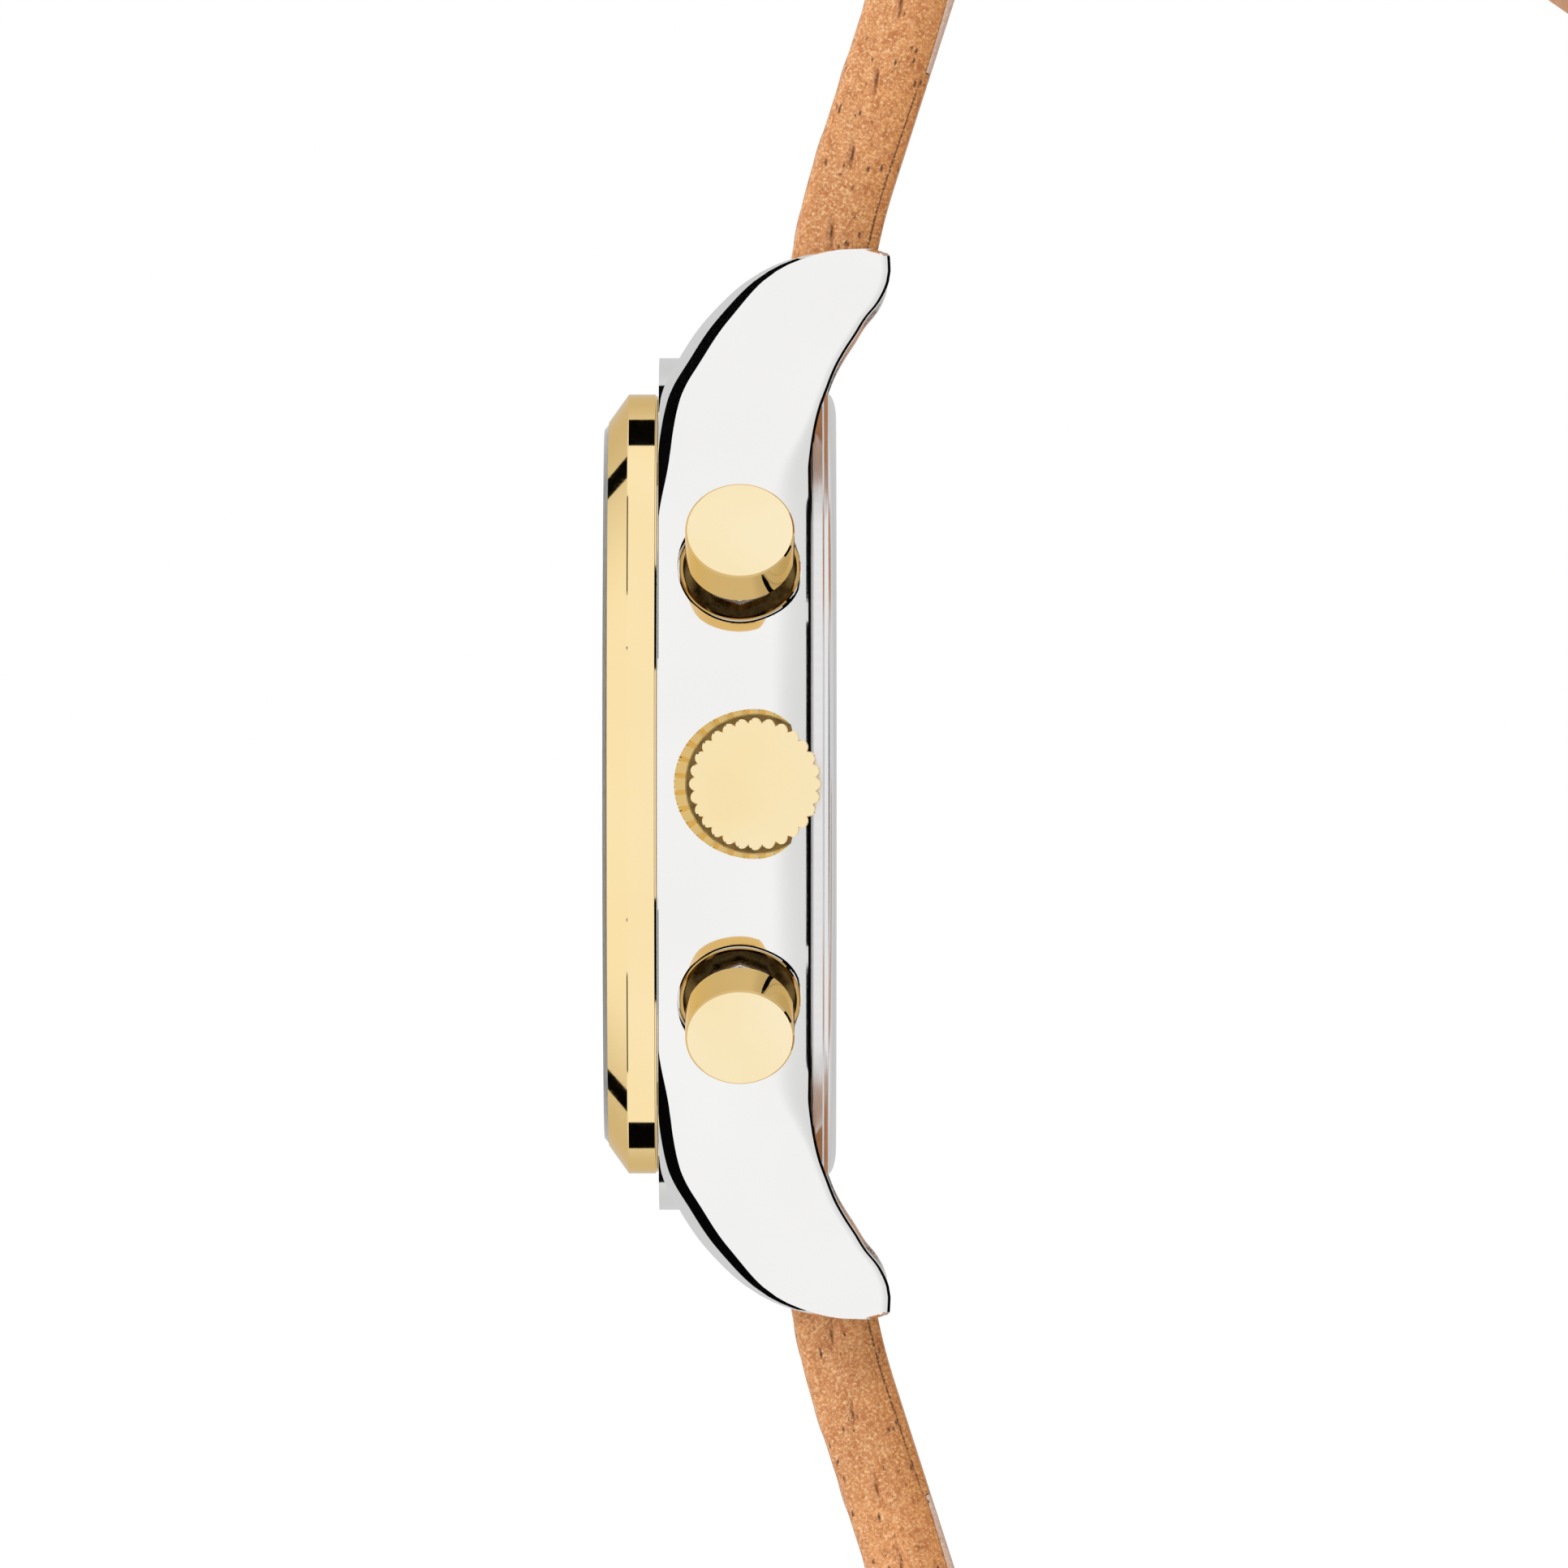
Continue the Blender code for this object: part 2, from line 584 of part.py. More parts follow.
# ---------------------------------------------------------------- movement
pivot_low = bridge_top + LOOSE
top_level = 4.9
middle_level = 4.2
lower_level = 3.5
wheel_thickness = 0.3
plain_arbor_top = plate_bottom + 0.5
counter_arbor_top = counter_hand_height + 0.14
centre_wheel_radius = 4.5
counter_wheel_radius = counter_distance - centre_wheel_radius - LOOSE
barrel_place = (-2.0, 9.05)
third_place = (-3.8, -6.2)
escape_place = (-10.8, -3.9)
fork_place = (-8.6, -6.6)
column_place = (6.5, -8.0)
barrel_arbor = 0.6
column_arbor = 0.4
tooth_depth = 0.15
plate_holes = {
    "small_seconds": (small_seconds_place, arbor_radius),
    "minute_counter": (minute_counter_place, arbor_radius),
    "hour_counter": (hour_counter_place, arbor_radius),
    "centre": ((0, 0), minute_tube[1]),
    "barrel": (barrel_place, barrel_arbor),
    "third": (third_place, arbor_radius),
    "escape": (escape_place, arbor_radius),
    "pallet": (fork_place, arbor_radius),
    "balance": (balance_place, arbor_radius),
    "column": (column_place, column_arbor),
}


def wheel(name, place, radius, level, thickness, arbor, arbor_top, finish=BRASS, teeth=8):
    segments = 2 * teeth
    profile = [(0, pivot_low), (arbor, pivot_low), (arbor, level), (radius, level),
               (radius, level + thickness), (arbor, level + thickness), (arbor, arbor_top), (0, arbor_top)]
    shape = toothed(turned(profile, segments), radius, tooth_depth, segments)
    return add_object(name, shape, finish, watch, (*place, 0))


def build_wheels():
    wheel("barrel", barrel_place, 4.6, 3.6, 1.7, barrel_arbor, plain_arbor_top, BRASS, 12)
    wheel("third_wheel", third_place, 2.9, middle_level, wheel_thickness, arbor_radius, plain_arbor_top)
    wheel("escape_wheel", escape_place, 1.9, middle_level, wheel_thickness, arbor_radius,
          plain_arbor_top, STEEL, 10)
    for name, place in (("fourth_wheel", small_seconds_place), ("minute_counter_wheel", minute_counter_place),
                        ("hour_counter_wheel", hour_counter_place)):
        wheel(name, place, counter_wheel_radius, top_level, wheel_thickness, arbor_radius, counter_arbor_top)
    wheel("chrono_wheel", (0, 0), 4.2, middle_level, wheel_thickness, chrono_arbor,
          chrono_hand_height + 0.14, BRASS, 10)
    wheel("column_wheel", column_place, 1.8, 3.6, 1.6, column_arbor, plain_arbor_top, STEEL, 6)
    tube_top = minute_hand_height + 0.17
    centre = [(minute_tube[0], top_level), (centre_wheel_radius, top_level),
              (centre_wheel_radius, top_level + wheel_thickness),
              (minute_tube[1], top_level + wheel_thickness), (minute_tube[1], tube_top),
              (minute_tube[0], tube_top)]
    facets = 24
    centre_mesh = toothed(turned(centre, facets, ring=True), centre_wheel_radius, tooth_depth, facets)
    add_object("centre_wheel", centre_mesh, BRASS, watch)
    low = plate_top + 0.08
    tube_top = hour_hand_height + 0.17
    hour = [(hour_tube[0], low), (2.5, low), (2.5, low + 0.14), (hour_tube[1], low + 0.14),
            (hour_tube[1], tube_top), (hour_tube[0], tube_top)]
    add_object("hour_wheel", turned(hour, MIDDLE_ROUND, ring=True), BRASS, watch)


def build_escapement():
    arms = [(-1.4, 0.35), (-1.5, -0.25), (-0.35, -0.3), (-0.25, -1.6), (0.25, -1.6), (0.35, -0.3),
            (1.5, -0.25), (1.4, 0.35)]
    lean = math.atan2(balance_place[1] - fork_place[1], balance_place[0] - fork_place[0]) + QUARTER
    fork = add_object("pallet_fork", plate(arms, middle_level, middle_level + 0.25), STEEL, watch,
                      (*fork_place, 0), (0, 0, lean))
    arbor = add_object("guide_pallet_arbor", rod(arbor_radius, pivot_low, plain_arbor_top, TINY_ROUND),
                       None, watch, (*fork_place, 0))
    combine(fork, arbor, "UNION")
    rim = balance_radius
    profile = [(0, pivot_low), (arbor_radius, pivot_low), (arbor_radius, lower_level), (rim, lower_level),
               (rim, lower_level + 0.45), (rim - 0.5, lower_level + 0.45), (rim - 0.5, lower_level + 0.2),
               (arbor_radius, lower_level + 0.2), (arbor_radius, plain_arbor_top), (0, plain_arbor_top)]
    balance = add_object("balance_wheel", turned(profile, MIDDLE_ROUND), BRASS, watch, (*balance_place, 0))
    for index in range(3):
        angle = math.tau * index / 3
        window = plate(arc(2.5, angle + 0.2, angle + 1.89, 6) + arc(0.8, angle + 1.7, angle + 0.4, 3),
                       lower_level - 1, lower_level + 1)
        combine(balance, add_object(f"cut_balance_{index}", window, None, watch, (*balance_place, 0)))
    spiral = bpy.data.curves.new("balance_spring", "CURVE")
    spiral.dimensions = "3D"
    spiral.bevel_depth = 0.05 * MM
    spiral.bevel_resolution = 0
    spiral.use_fill_caps = True
    line = spiral.splines.new("POLY")
    turns, steps = 3, 30
    line.points.add(steps)
    for index, point in enumerate(line.points):
        angle = math.tau * turns * index / steps
        radius = 0.5 + 1.5 * index / steps
        point.co = (radius * math.cos(angle) * MM, radius * math.sin(angle) * MM, 0, 1)
    spiral.materials.append(STEEL)
    made = bpy.data.objects.new("balance_spring", spiral)
    made.parent = watch
    made.location = (balance_place[0] * MM, balance_place[1] * MM, (pivot_low + 0.08) * MM)
    bpy.context.scene.collection.objects.link(made)


def screw(name, place, low, length):
    profile = [(0, low), (screw_head_radius, low), (screw_head_radius, low + screw_head_height),
               (screw_radius, low + screw_head_height), (screw_radius, low + length), (0, low + length)]
    add_object(name, turned(profile, TINY_ROUND), STEEL, watch, (*place, 0))


def post(target, name, place):
    """A pillar up to the mainplate under target, with a screw through it."""
    pillar = rod(pillar_radius, bridge_bottom + 0.2, plate_bottom - SEAT, TINY_ROUND)
    combine(target, add_object(f"guide_{name}", pillar, None, watch, (*place, 0)), "UNION")
    hole = rod(screw_radius + SEAT, bridge_bottom - 1, plate_bottom + 1, TINY_ROUND)
    combine(target, add_object(f"cut_{name}", hole, None, watch, (*place, 0)))
    low = bridge_bottom - SEAT - screw_head_height
    screw(name, place, low, plate_bottom - SEAT - low)


def build_plates():
    ring = sleeve(holder_inner_radius, movement_bore - LOOSE, holder_bottom, dial_height - SEAT, BIG_ROUND)
    holder = add_object("movement_holder_ring", ring, PLATE, watch)
    stem_way = rod(stem_radius + 0.3, stem_inner_end, case_radius, TINY_ROUND)
    combine(holder, add_object("cut_stem_way", stem_way, None, crown_axis))
    for name, axis in pusher_axes.items():
        way = rod(pusher_stem_radius + 0.4, stem_inner_end, case_radius, TINY_ROUND)
        combine(holder, add_object(f"cut_{name}_way", way, None, axis))
    mainplate = add_object("mainplate", rod(plate_radius, plate_bottom, plate_top, BIG_ROUND), PLATE, watch)
    for name, (place, arbor) in plate_holes.items():
        hole = rod(arbor + RUNNING, plate_bottom - 1, plate_top + 1, TINY_ROUND)
        combine(mainplate, add_object(f"cut_plate_{name}", hole, None, watch, (*place, 0)))
    bridge_mesh = rod(bridge_radius, bridge_bottom, bridge_top, BIG_ROUND)
    bridge = add_object("train_bridge", bridge_mesh, PLATE, watch)
    well = rod(balance_radius + 0.6, bridge_bottom - 1, bridge_top + 1, MIDDLE_ROUND)
    combine(bridge, add_object("cut_balance_well", well, None, watch, (*balance_place, 0)))
    slot = plate(capsule(balance_place, cock_foot_place, 2.6), bridge_bottom - 1, bridge_top + 1)
    combine(bridge, add_object("cut_cock_slot", slot, None, watch))
    for index, place in enumerate(pillar_places, 1):
        post(bridge, f"bridge_screw_{index}", place)
    cock_mesh = plate(capsule(balance_place, cock_foot_place, 1.3), bridge_bottom, bridge_top)
    post(add_object("balance_cock", cock_mesh, PLATE, watch), "cock_screw", cock_foot_place)


# ---------------------------------------------------------------- strap
first_lean, full_lean = math.radians(10.5), math.radians(17.8)


def strap_route(bend_radius, end_angle, straight):
    """Straight runs and arcs (length, curvature) that the strap's middle line follows."""
    ease = 4.0
    return [(2.7, 0), (ease, (full_lean - first_lean) / ease), (10.5, 0),
            (bend_radius * (end_angle - full_lean), 1 / bend_radius), (straight, 0)]


def along(route, distance):
    """Place (y, z) and lean of the middle line at a distance from the spring bar."""
    y, z, lean = 0.0, 0.0, first_lean
    for index, (length, bend) in enumerate(route):
        run = distance if index == len(route) - 1 or distance < length else length
        if bend:
            turned_lean = lean + run * bend
            y += (math.sin(turned_lean) - math.sin(lean)) / bend
            z += (math.cos(turned_lean) - math.cos(lean)) / bend
            lean = turned_lean
        else:
            y += run * math.cos(lean)
            z -= run * math.sin(lean)
        if run == distance:
            return y, z, lean
        distance -= run
    return y, z, lean


buckle_route = strap_route(15.0, math.radians(125), buckle_side_straight)
tail_route = strap_route(22.0, math.radians(165), tail_side_straight)
buckle_bar_at = sum(length for length, _ in buckle_route)
tail_end_at = sum(length for length, _ in tail_route)
end_radius = strap_thickness / 2
bar_loop_radius = strap_thin / 2


def thickness_at(distance):
    share = min(max((distance - 20) / 25, 0), 1)
    return strap_thickness + (strap_thin - strap_thickness) * share


def half_width_at(distance):
    share = min(max((distance - 14) / 45, 0), 1)
    return strap_half_width + (strap_end_width / 2 - strap_half_width) * share


def tail_half_width(distance):
    left = tail_end_at - distance
    if left >= tail_point:
        return half_width_at(distance)
    share = 1 - left / tail_point
    return half_width_at(distance) * math.sqrt(max(1 - share**2, 0.01))


def strap_ring(route, distance, half_width, low, high, edge=0.4):
    """One cross-section, with small flats on its front corners."""
    y, z, lean = along(route, distance)
    corners = [(-half_width, low), (half_width, low), (half_width, high - edge), (half_width - edge, high),
               (edge - half_width, high), (-half_width, high - edge)]
    return [(x, y + out * math.sin(lean), z + out * math.cos(lean)) for x, out in corners]


def steps_between(start, end, step=3.0):
    count = max(1, math.ceil((end - start) / step))
    return [start + (end - start) * index / count for index in range(count + 1)]


def strap_leather(route, length, lining_end, width, round_end):
    """The outer leather: full thickness at both ends, with room for the lining between."""
    rings = []
    for angle in (75, 55, 35, 15):
        a = math.radians(angle)
        half = end_radius * math.cos(a)
        rings.append(strap_ring(route, -end_radius * math.sin(a), width(0), -half, half, 0.2))

    def station(distance, lined):
        half = thickness_at(distance) / 2
        low = -half + (lining_thickness + LOOSE if lined else 0)
        rings.append(strap_ring(route, distance, width(distance), low, half))

    for distance in steps_between(0, lining_start):
        station(distance, False)
    for distance in steps_between(lining_start + LOOSE, lining_end):
        station(distance, True)
    if round_end:
        for distance in steps_between(lining_end + LOOSE, length):
            station(distance, False)
        for angle in (20, 40, 60, 75):
            a = math.radians(angle)
            half = bar_loop_radius * math.cos(a)
            rings.append(strap_ring(route, length + bar_loop_radius * math.sin(a), width(length),
                                    -half, half, 0.1))
    return lofted(rings)


def strap_lining(route, lining_end, width):
    rings = []
    for distance in steps_between(lining_start + 2 * LOOSE, lining_end - LOOSE):
        low = -thickness_at(distance) / 2
        rings.append(strap_ring(route, distance, width(distance), low, low + lining_thickness, 0.1))
    return lofted(rings)


def build_spring_bar(name, pivot):
    half = lug_gap / 2 - LOOSE
    tip = half + bar_tip_length
    profile = [(0, -tip), (bar_tip_radius, -tip), (bar_tip_radius, -half), (bar_radius, -half),
               (bar_radius, half), (bar_tip_radius, half), (bar_tip_radius, tip), (0, tip)]
    add_object(name, turned(profile, TINY_ROUND), STEEL, pivot, turn=CROSS_TURN)


def bar_hole(target, pivot, radius, name, place=(0, 0, 0)):
    hole = rod(radius, -lug_gap, lug_gap, TINY_ROUND)
    combine(target, add_object(f"cut_{name}", hole, None, pivot, place, CROSS_TURN))


def keeper(name, pivot, distance):
    """A loop of leather round the strap, with room for the tail on the strap's front."""
    y, z, lean = along(buckle_route, distance)
    half_width = half_width_at(distance) + 0.3
    low = -strap_thin / 2 - 0.2
    high = strap_thin / 2 + strap_thin + 0.4
    centre = empty(f"{name}_place", pivot, (0, y, z), (-lean, 0, 0))
    half = keeper_width / 2
    outer = box((-half_width - keeper_wall, -half, low - keeper_wall),
                (half_width + keeper_wall, half, high + keeper_wall))
    inner = box((-half_width, -half - 1, low), (half_width, half + 1, high))
    loop = add_object(name, outer, LEATHER, centre)
    combine(loop, add_object(f"cut_{name}", inner, None, centre))


def build_buckle_side():
    pivot = empty("strap_12_pivot", watch, (0, bar_place, bar_height))
    build_spring_bar("spring_bar_12", pivot)
    lining_end = buckle_bar_at - 5.0
    leather = strap_leather(buckle_route, buckle_bar_at, lining_end, half_width_at, True)
    strap = add_object("strap_12_leather", leather, LEATHER, pivot)
    bar_hole(strap, pivot, bar_radius + RUNNING, "strap_12_bar_hole")
    add_object("strap_12_lining", strap_lining(buckle_route, lining_end, half_width_at), LINING, pivot)
    keeper("fixed_keeper", pivot, buckle_bar_at - fixed_keeper_from_bar)
    keeper("free_keeper", pivot, buckle_bar_at - free_keeper_from_bar)
    y, z, lean = along(buckle_route, buckle_bar_at)
    bar = empty("buckle_pivot", pivot, (0, y, z), (-lean, 0, 0))
    bar_hole(strap, bar, buckle_bar_radius + RUNNING, "strap_12_buckle_hole")
    slot = box((-tang_half_width - 0.4, -2.3, -5), (tang_half_width + 0.4, 5, 5))
    combine(strap, add_object("cut_tang_slot", slot, None, bar))
    arm_out = buckle_half_gap + buckle_arm
    back = -bar_loop_radius
    frame_half = [(buckle_half_gap, back), (arm_out, back), (arm_out, buckle_length - 1.4),
                  (arm_out - 0.5, buckle_length - 0.4), (arm_out - 1.6, buckle_length), (0, buckle_length)]
    inner_half = [(0, buckle_length - buckle_arm), (buckle_half_gap, buckle_length - buckle_arm)]
    outline = frame_half + [(-x, y) for x, y in reversed(frame_half[:-1])]
    outline += [(-x, y) for x, y in reversed(inner_half)][:1] + [inner_half[1]]
    half = buckle_half_thickness
    frame = add_object("buckle_frame", plate(outline, -half, half), STEEL, bar)
    tip = arm_out - 0.3
    hole = rod(buckle_bar_radius + SEAT, -tip - LOOSE, tip + LOOSE, TINY_ROUND)
    combine(frame, add_object("cut_buckle_bar", hole, None, bar, turn=CROSS_TURN))
    add_object("buckle_bar", rod(buckle_bar_radius, -tip, tip, TINY_ROUND), STEEL, bar, turn=CROSS_TURN)
    eye = buckle_bar_radius + RUNNING + 0.65
    rest = half + SEAT
    lift = 0.8
    side = arc(eye, math.radians(60), math.radians(405), 12)
    side += [(buckle_length + 0.4, rest), (buckle_length + 0.4, rest + 0.4),
             (buckle_length - 0.8, rest + lift), (eye * math.cos(math.radians(60)), rest + lift)]
    tang = add_object("buckle_tang", plate(side, -tang_half_width, tang_half_width), STEEL, bar,
                      turn=SIDE_TURN)
    bar_hole(tang, bar, buckle_bar_radius + RUNNING, "tang_eye")


def build_tail_side():
    pivot = empty("strap_6_pivot", watch, (0, -bar_place, bar_height), (0, 0, math.pi))
    build_spring_bar("spring_bar_6", pivot)
    lining_end = tail_end_at - LOOSE
    leather = strap_leather(tail_route, tail_end_at, tail_end_at, tail_half_width, False)
    strap = add_object("strap_6_leather", leather, LEATHER, pivot)
    bar_hole(strap, pivot, bar_radius + RUNNING, "strap_6_bar_hole")
    lining_mesh = strap_lining(tail_route, lining_end, tail_half_width)
    lining = add_object("strap_6_lining", lining_mesh, LINING, pivot)
    for index in range(hole_count):
        y, z, lean = along(tail_route, tail_end_at - first_hole_from_tip - index * hole_pitch)
        punch = add_object(f"cut_strap_hole_{index}", rod(hole_radius, -5, 5, 8), None, pivot,
                           (0, y, z), (-lean, 0, 0))
        combine(strap, punch)
        combine(lining, punch)


# ---------------------------------------------------------------- build
build_case()
build_bezel_and_crystal()
build_case_back()
build_crown()
for pusher_name, pusher_axis in pusher_axes.items():
    build_pusher(pusher_name, pusher_axis)
build_dial_side()
build_plates()
build_wheels()
build_escapement()
build_buckle_side()
build_tail_side()
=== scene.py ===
# %% [markdown]
# # A chronograph wristwatch, seen from its crown side
# The CAD model gives the places and the joints. This file gives every visible piece its final shape
# and finish. All pieces are drawn in the watchmaker's bench frame, in millimetres: x towards
# 3 o'clock, y towards 12 o'clock and z out of the dial, with the case back's face at z = 0.
# A single matrix then stands them up into the shared frame, where the dial faces -Y.

import math

import bmesh
import bpy
import numpy as np
from mathutils import Matrix, Vector
from mathutils.kdtree import KDTree


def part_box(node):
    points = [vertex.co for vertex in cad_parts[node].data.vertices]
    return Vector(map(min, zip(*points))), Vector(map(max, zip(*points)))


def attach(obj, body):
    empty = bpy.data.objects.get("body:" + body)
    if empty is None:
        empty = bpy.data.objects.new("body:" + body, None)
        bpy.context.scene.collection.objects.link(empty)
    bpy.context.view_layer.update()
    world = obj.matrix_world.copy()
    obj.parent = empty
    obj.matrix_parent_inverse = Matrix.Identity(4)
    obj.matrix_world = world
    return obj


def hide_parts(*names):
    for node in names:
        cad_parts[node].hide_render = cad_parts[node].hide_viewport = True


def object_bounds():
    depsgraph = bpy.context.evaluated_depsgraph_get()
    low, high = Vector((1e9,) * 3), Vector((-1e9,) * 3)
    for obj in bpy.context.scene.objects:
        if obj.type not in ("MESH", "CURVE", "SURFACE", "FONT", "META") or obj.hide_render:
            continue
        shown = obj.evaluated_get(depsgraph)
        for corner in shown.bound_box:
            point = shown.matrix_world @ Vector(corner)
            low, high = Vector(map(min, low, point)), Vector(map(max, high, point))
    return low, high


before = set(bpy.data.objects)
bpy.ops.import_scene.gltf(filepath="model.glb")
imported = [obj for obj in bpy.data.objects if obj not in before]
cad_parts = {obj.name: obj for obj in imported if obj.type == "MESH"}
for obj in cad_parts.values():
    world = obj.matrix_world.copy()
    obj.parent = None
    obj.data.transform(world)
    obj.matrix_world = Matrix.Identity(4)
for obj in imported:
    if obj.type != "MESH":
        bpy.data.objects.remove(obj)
cad_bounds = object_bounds()
scene = bpy.context.scene
MM = 0.001
STAND_UP = Matrix.Rotation(math.pi / 2, 4, "X") @ Matrix.Scale(MM, 4)
print("CAD box (m):", [[round(v, 4) for v in corner] for corner in cad_bounds])

# %% [markdown]
# ## Reading sizes from the frame
# The pieces must sit where the CAD pieces sit, so the driving sizes are measured on the CAD nodes.
# A node's box is in metres in the shared frame; here it is turned back to bench millimetres.


# %% Measure the CAD nodes
def bench_box(node):
    """Lowest and highest corner of a CAD node: x, y (to 12 o'clock), z (height), in mm."""
    low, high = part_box(node)
    return (Vector((low[0], low[2], -high[1])) / MM, Vector((high[0], high[2], -low[1])) / MM)


_, case_high = bench_box("case_middle")
bezel_low, bezel_high = bench_box("bezel")
crystal_low, crystal_high = bench_box("crystal")
_, back_high = bench_box("case_back")
dial_low, dial_high = bench_box("dial")
crown_low, crown_high = bench_box("crown")
bar_low, bar_high = bench_box("spring_bar_12")

case_radius = case_high.x
lug_reach = case_high.y
case_top = bezel_low.z - 0.05
bezel_radius = bezel_high.x
bezel_top = bezel_high.z
crystal_radius = crystal_high.x
crown_radius = crown_high.y
crown_height = (crown_low.z + crown_high.z) / 2
bar_place = (bar_low.y + bar_high.y) / 2
bar_height = (bar_low.z + bar_high.z) / 2
pusher_height = sum(corner.z for corner in bench_box("start_pusher")) / 2
print("case", round(case_radius, 2), "lugs", round(lug_reach, 2), "bezel", round(bezel_radius, 2),
      "crown", round(crown_radius, 2), "bar at", round(bar_place, 2), round(bar_height, 2))

# %% [markdown]
# ## Camera
# The watch is looked at square on from 3 o'clock, from far away, so that near and far pieces keep
# almost the same scale. A long lens over a metre away gives that.

# %% Place the camera
FRAME_WIDTH = 77.3
CAMERA_DISTANCE = 1250.0
CAMERA_HEIGHT_ON_AXIS = 2.56
camera_data = bpy.data.cameras.new("camera")
camera_data.sensor_width = 36.0
camera_data.lens = camera_data.sensor_width * CAMERA_DISTANCE / FRAME_WIDTH
camera_data.clip_end = 20.0
camera = bpy.data.objects.new("camera", camera_data)
camera.location = (CAMERA_DISTANCE * MM, -CAMERA_HEIGHT_ON_AXIS * MM, 0.0)
camera.rotation_euler = (math.pi / 2, 0, math.pi / 2)
scene.collection.objects.link(camera)
scene.camera = camera
scene.view_settings.view_transform = "Standard"
print("lens", round(camera_data.lens, 1), "mm")

# %% [markdown]
# ## Node helpers
# The room, the finishes and the geometry trees are all made of nodes. These helpers add one node, or
# one sum, and link what they are given.


# %% Add nodes and link them
def new_nodes(owner):
    """Empty node tree of a world or a material."""
    owner.use_nodes = True
    tree = owner.node_tree
    tree.nodes.clear()
    return tree


def add_node(tree, kind, settings=None, **sockets):
    """Add a node, set its properties, then fill or link its inputs by socket name."""
    node = tree.nodes.new(kind)
    for name, value in (settings or {}).items():
        setattr(node, name, value)
    for name, value in sockets.items():
        key = int(name[1:]) if name[0] == "i" and name[1:].isdigit() else name.replace("_", " ")
        if isinstance(value, bpy.types.NodeSocket):
            tree.links.new(value, node.inputs[key])
        else:
            node.inputs[key].default_value = value
    return node


def maths(tree, operation, first, second=0.0, third=0.0):
    """One Math node's result, in a material's tree or in a geometry tree."""
    return add_node(tree, "ShaderNodeMath", {"operation": operation}, i0=first, i1=second,
                    i2=third).outputs["Value"]


print("node helpers ready")

# %% [markdown]
# ## Studio
# Polished metal shows its surroundings and nothing else. A white room makes the steel white. The
# room is a little darker on the wrist's side and far behind the watch, so that faces which roll away
# turn softly grey.

# %% Room light
ROOM_LIGHT = 0.97
world = bpy.data.worlds.new("white_room")
scene.world = world
tree = new_nodes(world)
direction = add_node(tree, "ShaderNodeTexCoord").outputs["Generated"]
axes = add_node(tree, "ShaderNodeSeparateXYZ", Vector=direction)
soft_step = {"interpolation_type": "SMOOTHSTEP"}
under = add_node(tree, "ShaderNodeMapRange", soft_step, Value=axes.outputs["Y"], From_Min=0.3, From_Max=0.95,
                 To_Min=ROOM_LIGHT, To_Max=0.76)
behind = add_node(tree, "ShaderNodeMapRange", soft_step, Value=axes.outputs["X"], From_Min=-0.92,
                  From_Max=-0.45, To_Min=0.66, To_Max=1.0)
shade = maths(tree, "MULTIPLY", under.outputs["Result"], behind.outputs["Result"])
path = add_node(tree, "ShaderNodeLightPath")
strength = add_node(tree, "ShaderNodeMix", {"data_type": "FLOAT"}, Factor=path.outputs["Is Camera Ray"],
                    A=shade, B=1.0)
room = add_node(tree, "ShaderNodeBackground", Color=(1, 1, 1, 1), Strength=strength.outputs["Result"])
add_node(tree, "ShaderNodeOutputWorld", Surface=room.outputs["Background"])


def soft_lamp(name, place, size, power):
    """An area lamp that looks at the watch."""
    lamp = bpy.data.lights.new(name, "AREA")
    lamp.size = size
    lamp.energy = power
    holder = bpy.data.objects.new(name, lamp)
    holder.location = place
    holder.rotation_euler = (-Vector(place)).to_track_quat("-Z", "Y").to_euler()
    holder.visible_glossy = False
    scene.collection.objects.link(holder)


soft_lamp("key_lamp", (0.7, -0.55, 0.6), 0.4, 2.4)
print("room light", ROOM_LIGHT)

# %% [markdown]
# The floor is pale and keeps the shadow. It is hidden from mirror reflections, so the lower half of
# the case is as bright as the upper half. The crisp black lines on bevels and bezel come from black
# cards, as in a product studio; only reflections show them.


# %% Floor
def stage_mesh(name, points, faces, material):
    """A flat thing of the studio, which isn't part of the watch."""
    mesh = bpy.data.meshes.new(name)
    mesh.from_pydata(points, [], faces)
    mesh.materials.append(material)
    made = bpy.data.objects.new(name, mesh)
    scene.collection.objects.link(made)
    return made


FLOOR_SIZE = 40.0
FLOOR_GAP = 0.002
FLOOR_LIFT = 0.2  # a glow that only eyes and mirrors see, which takes the floor up to white
pale = bpy.data.materials.new("pale_floor")
tree = new_nodes(pale)
grain = add_node(tree, "ShaderNodeTexNoise", Scale=6.0, Detail=2.0)
tone = add_node(tree, "ShaderNodeMapRange", Value=grain.outputs["Fac"], To_Min=0.90, To_Max=0.92)
matte = add_node(tree, "ShaderNodeBsdfDiffuse", Color=tone.outputs["Result"])
path = add_node(tree, "ShaderNodeLightPath")
seen = maths(tree, "MAXIMUM", path.outputs["Is Camera Ray"], path.outputs["Is Glossy Ray"])
seen = maths(tree, "MAXIMUM", seen, path.outputs["Is Transmission Ray"])
glow = add_node(tree, "ShaderNodeEmission", Strength=maths(tree, "MULTIPLY", seen, FLOOR_LIFT))
both = add_node(tree, "ShaderNodeAddShader", i0=matte.outputs["BSDF"], i1=glow.outputs["Emission"])
add_node(tree, "ShaderNodeOutputMaterial", Surface=both.outputs["Shader"])
floor_z = cad_bounds[0][2] - FLOOR_GAP
floor_corners = [(FLOOR_SIZE * x, FLOOR_SIZE * y, floor_z) for x, y in ((-1, -1), (1, -1), (1, 1), (-1, 1))]
floor = stage_mesh("floor", floor_corners, [(0, 1, 2, 3)], pale)
floor.visible_glossy = False
print("floor at", round(floor_z, 4))

